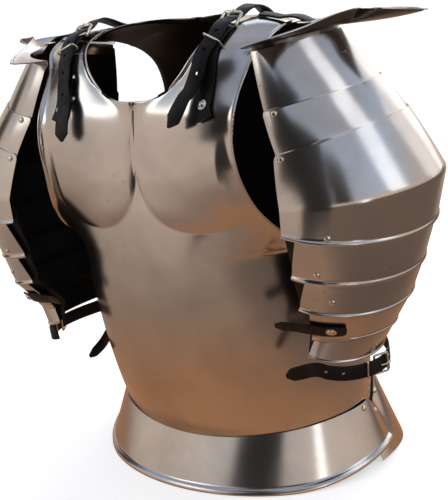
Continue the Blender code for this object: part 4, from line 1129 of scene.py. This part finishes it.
def band_route(turn, hang=0.0):
    """The route of a leather band inside the lower lames."""
    inward = -outward(turn)
    route = [(section_point(3.35, turn, -BAND_INSET - 0.001), inward, 0.020)]
    for level, more, share in BAND:
        point = section_point(float(level), turn, -BAND_INSET - more)
        route.append((point + (0, 0, 0.0115), inward, 0.020 * share))
        route.append((point, inward, 0.020 * share))
    route.append((section_point(7.85, turn, -BAND_INSET - 0.0030), inward, 0.014))
    if hang:
        low = section_point(8.0, turn, -BAND_INSET - 0.0030)
        route.append((low - np.array((0, 0, hang)), inward, 0.014))
    return route


def below_plate(turn, out):
    """A point on the arm strap's path, below the last plate."""
    return section_point(8.0, turn, out) - (0, 0, ARM_DROP)


for hand in SIDES:
    cut_strap(hand, "front_band_leather", band_route(-94), "main", "front_band")
    cut_strap(hand, "rear_band_leather", band_route(80, ARM_DROP + 0.009), "main", "rear_band")
    for piece, level, turn, inset in (("second", 1.13, 88, SLIDE), ("main", 2.12, 93, 0.0)):
        for end, sign in (("front", -1), ("rear", 1)):
            spot, facing = on_pauldron(level, sign * turn, -inset)
            domed_rivet(
                hand, "%s_%s_rivet" % (piece, end), spot, facing, piece,
                "%s_%s_pivot" % (piece, end))

    route = [(*on_pauldron(6.52, turn, 0.0004), width) for turn, width in WASHER_STRAP]
    last, facing, _ = route[-1]
    for run, away, drop, width in WASHER_END:
        route.append((last - (run, away, drop), facing, width))
    cut_strap(hand, "washer_leather", route, "main", "washer_strap")
    spot, facing = on_pauldron(6.52, -70, 0.0008 + LEATHER_THICK)
    domed_rivet(
        hand, "washer_rivet_head", spot, facing, "main", "washer_rivet", washer=WASHER)

    inside = 0.0020 - BAND_INSET - 0.0030
    route = [(below_plate(turn, inside + more), outward(turn), 0.018) for turn, more in ARM_STRAP]
    if hand == "left":
        last, facing, _ = route[-1]
        for run, away, drop, width in ARM_END:
            route.append((last - (run, away, drop), facing, width))
        holes = (0.150, 0.168)
    else:
        route.reverse()
        route += [(row[0:3], (*row[3:5], 0), row[5]) for row in RIGHT_END]
        holes = (0.215, 0.235)
    cut_strap(hand, "arm_leather", route, "main", "arm_strap", holes)
    spot, ahead = (below_plate(turn, inside + 0.0080) for turn in (-2, -10))
    along, facing = wire_loop(
        hand, "arm_roller_buckle", (spot, ahead, outward(0)), ARM_BUCKLE, 0.0014, "main",
        "arm_buckle", roller=True)
    bent_wire(
        hand, "arm_tongue", [spot + along * run + facing * rise for run, rise in ARM_PRONG],
        0.0010, "main", "arm_prong", closed=False)
    spot, ahead = (below_plate(turn, inside + 0.0052) for turn in (-24, -32))
    wire_loop(
        hand, "arm_keeper_wire", (spot, ahead, outward(-24)), ARM_KEEPER, 0.0010, "main",
        "arm_keeper")

    route = [on_torso(*row) for row in SUSPENSION]
    route += [(row, (0.45, 0, 0.9), STRAP_WIDTH) for row in SUSPENSION_REST]
    route += [(*on_pauldron(level, 0, -0.0125), STRAP_WIDTH) for level in (0.44, 0.72)]
    cut_strap(hand, "suspension_leather", route, "cuirass", "suspension_strap", steps=5)
    first, ahead = (np.array(row) for row in SUSPENSION_REST)
    wire_loop(
        hand, "suspension_wire", (first + (ahead - first) * 0.4, ahead, np.array((0.5, 0, 0.85))),
        SUSPENSION_BUCKLE, 0.0014, "cuirass", "suspension_buckle")

    for label, level, turn, inset, group in LAME_RIVETS:
        spot, facing = on_pauldron(level, turn, -inset)
        # The top plate's rivet takes the dark finish, a painted dark reflection.
        finish = DARK_STEEL_AND_PAINTED_REFLECTION if label == "top_plate_rivet" else NICKEL
        domed_rivet(hand, label, spot, facing, group, finish=finish, **SMALL_RIVET)


# Fauld rivets
# Small domed steel rivets, peened over inside, three on each side. They hold the front plate
# where it laps the rear one, and the rear one to the backplate.
# Columns: angle, height, and the outline of the plate that the head stands on
FAULD_RIVETS = (
    (83.8, 0.0725, front_outline), (94.2, 0.0585, front_outline), (103.5, 0.0755, rear_outline))
NEARBY = 0.002
for hand in SIDES:
    for place, (turn, height, outline) in enumerate(FAULD_RIVETS):
        sunk = STEP if outline is rear_outline else 0.0
        rows = [(height + rise, -sunk) for rise in (-NEARBY, 0.0, NEARBY)]
        spots = fauld_grid((turn - 1, turn, turn + 1), lambda about: (outline(about)[0], rows, 1.0))
        facing = unit(np.cross(spots[1, 2] - spots[1, 0], spots[2, 1] - spots[0, 1]))
        domed_rivet(
            hand, "fauld_rivet_%d" % (place + 1), spots[1, 1], facing, "cuirass", **SMALL_RIVET)

low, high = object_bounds()
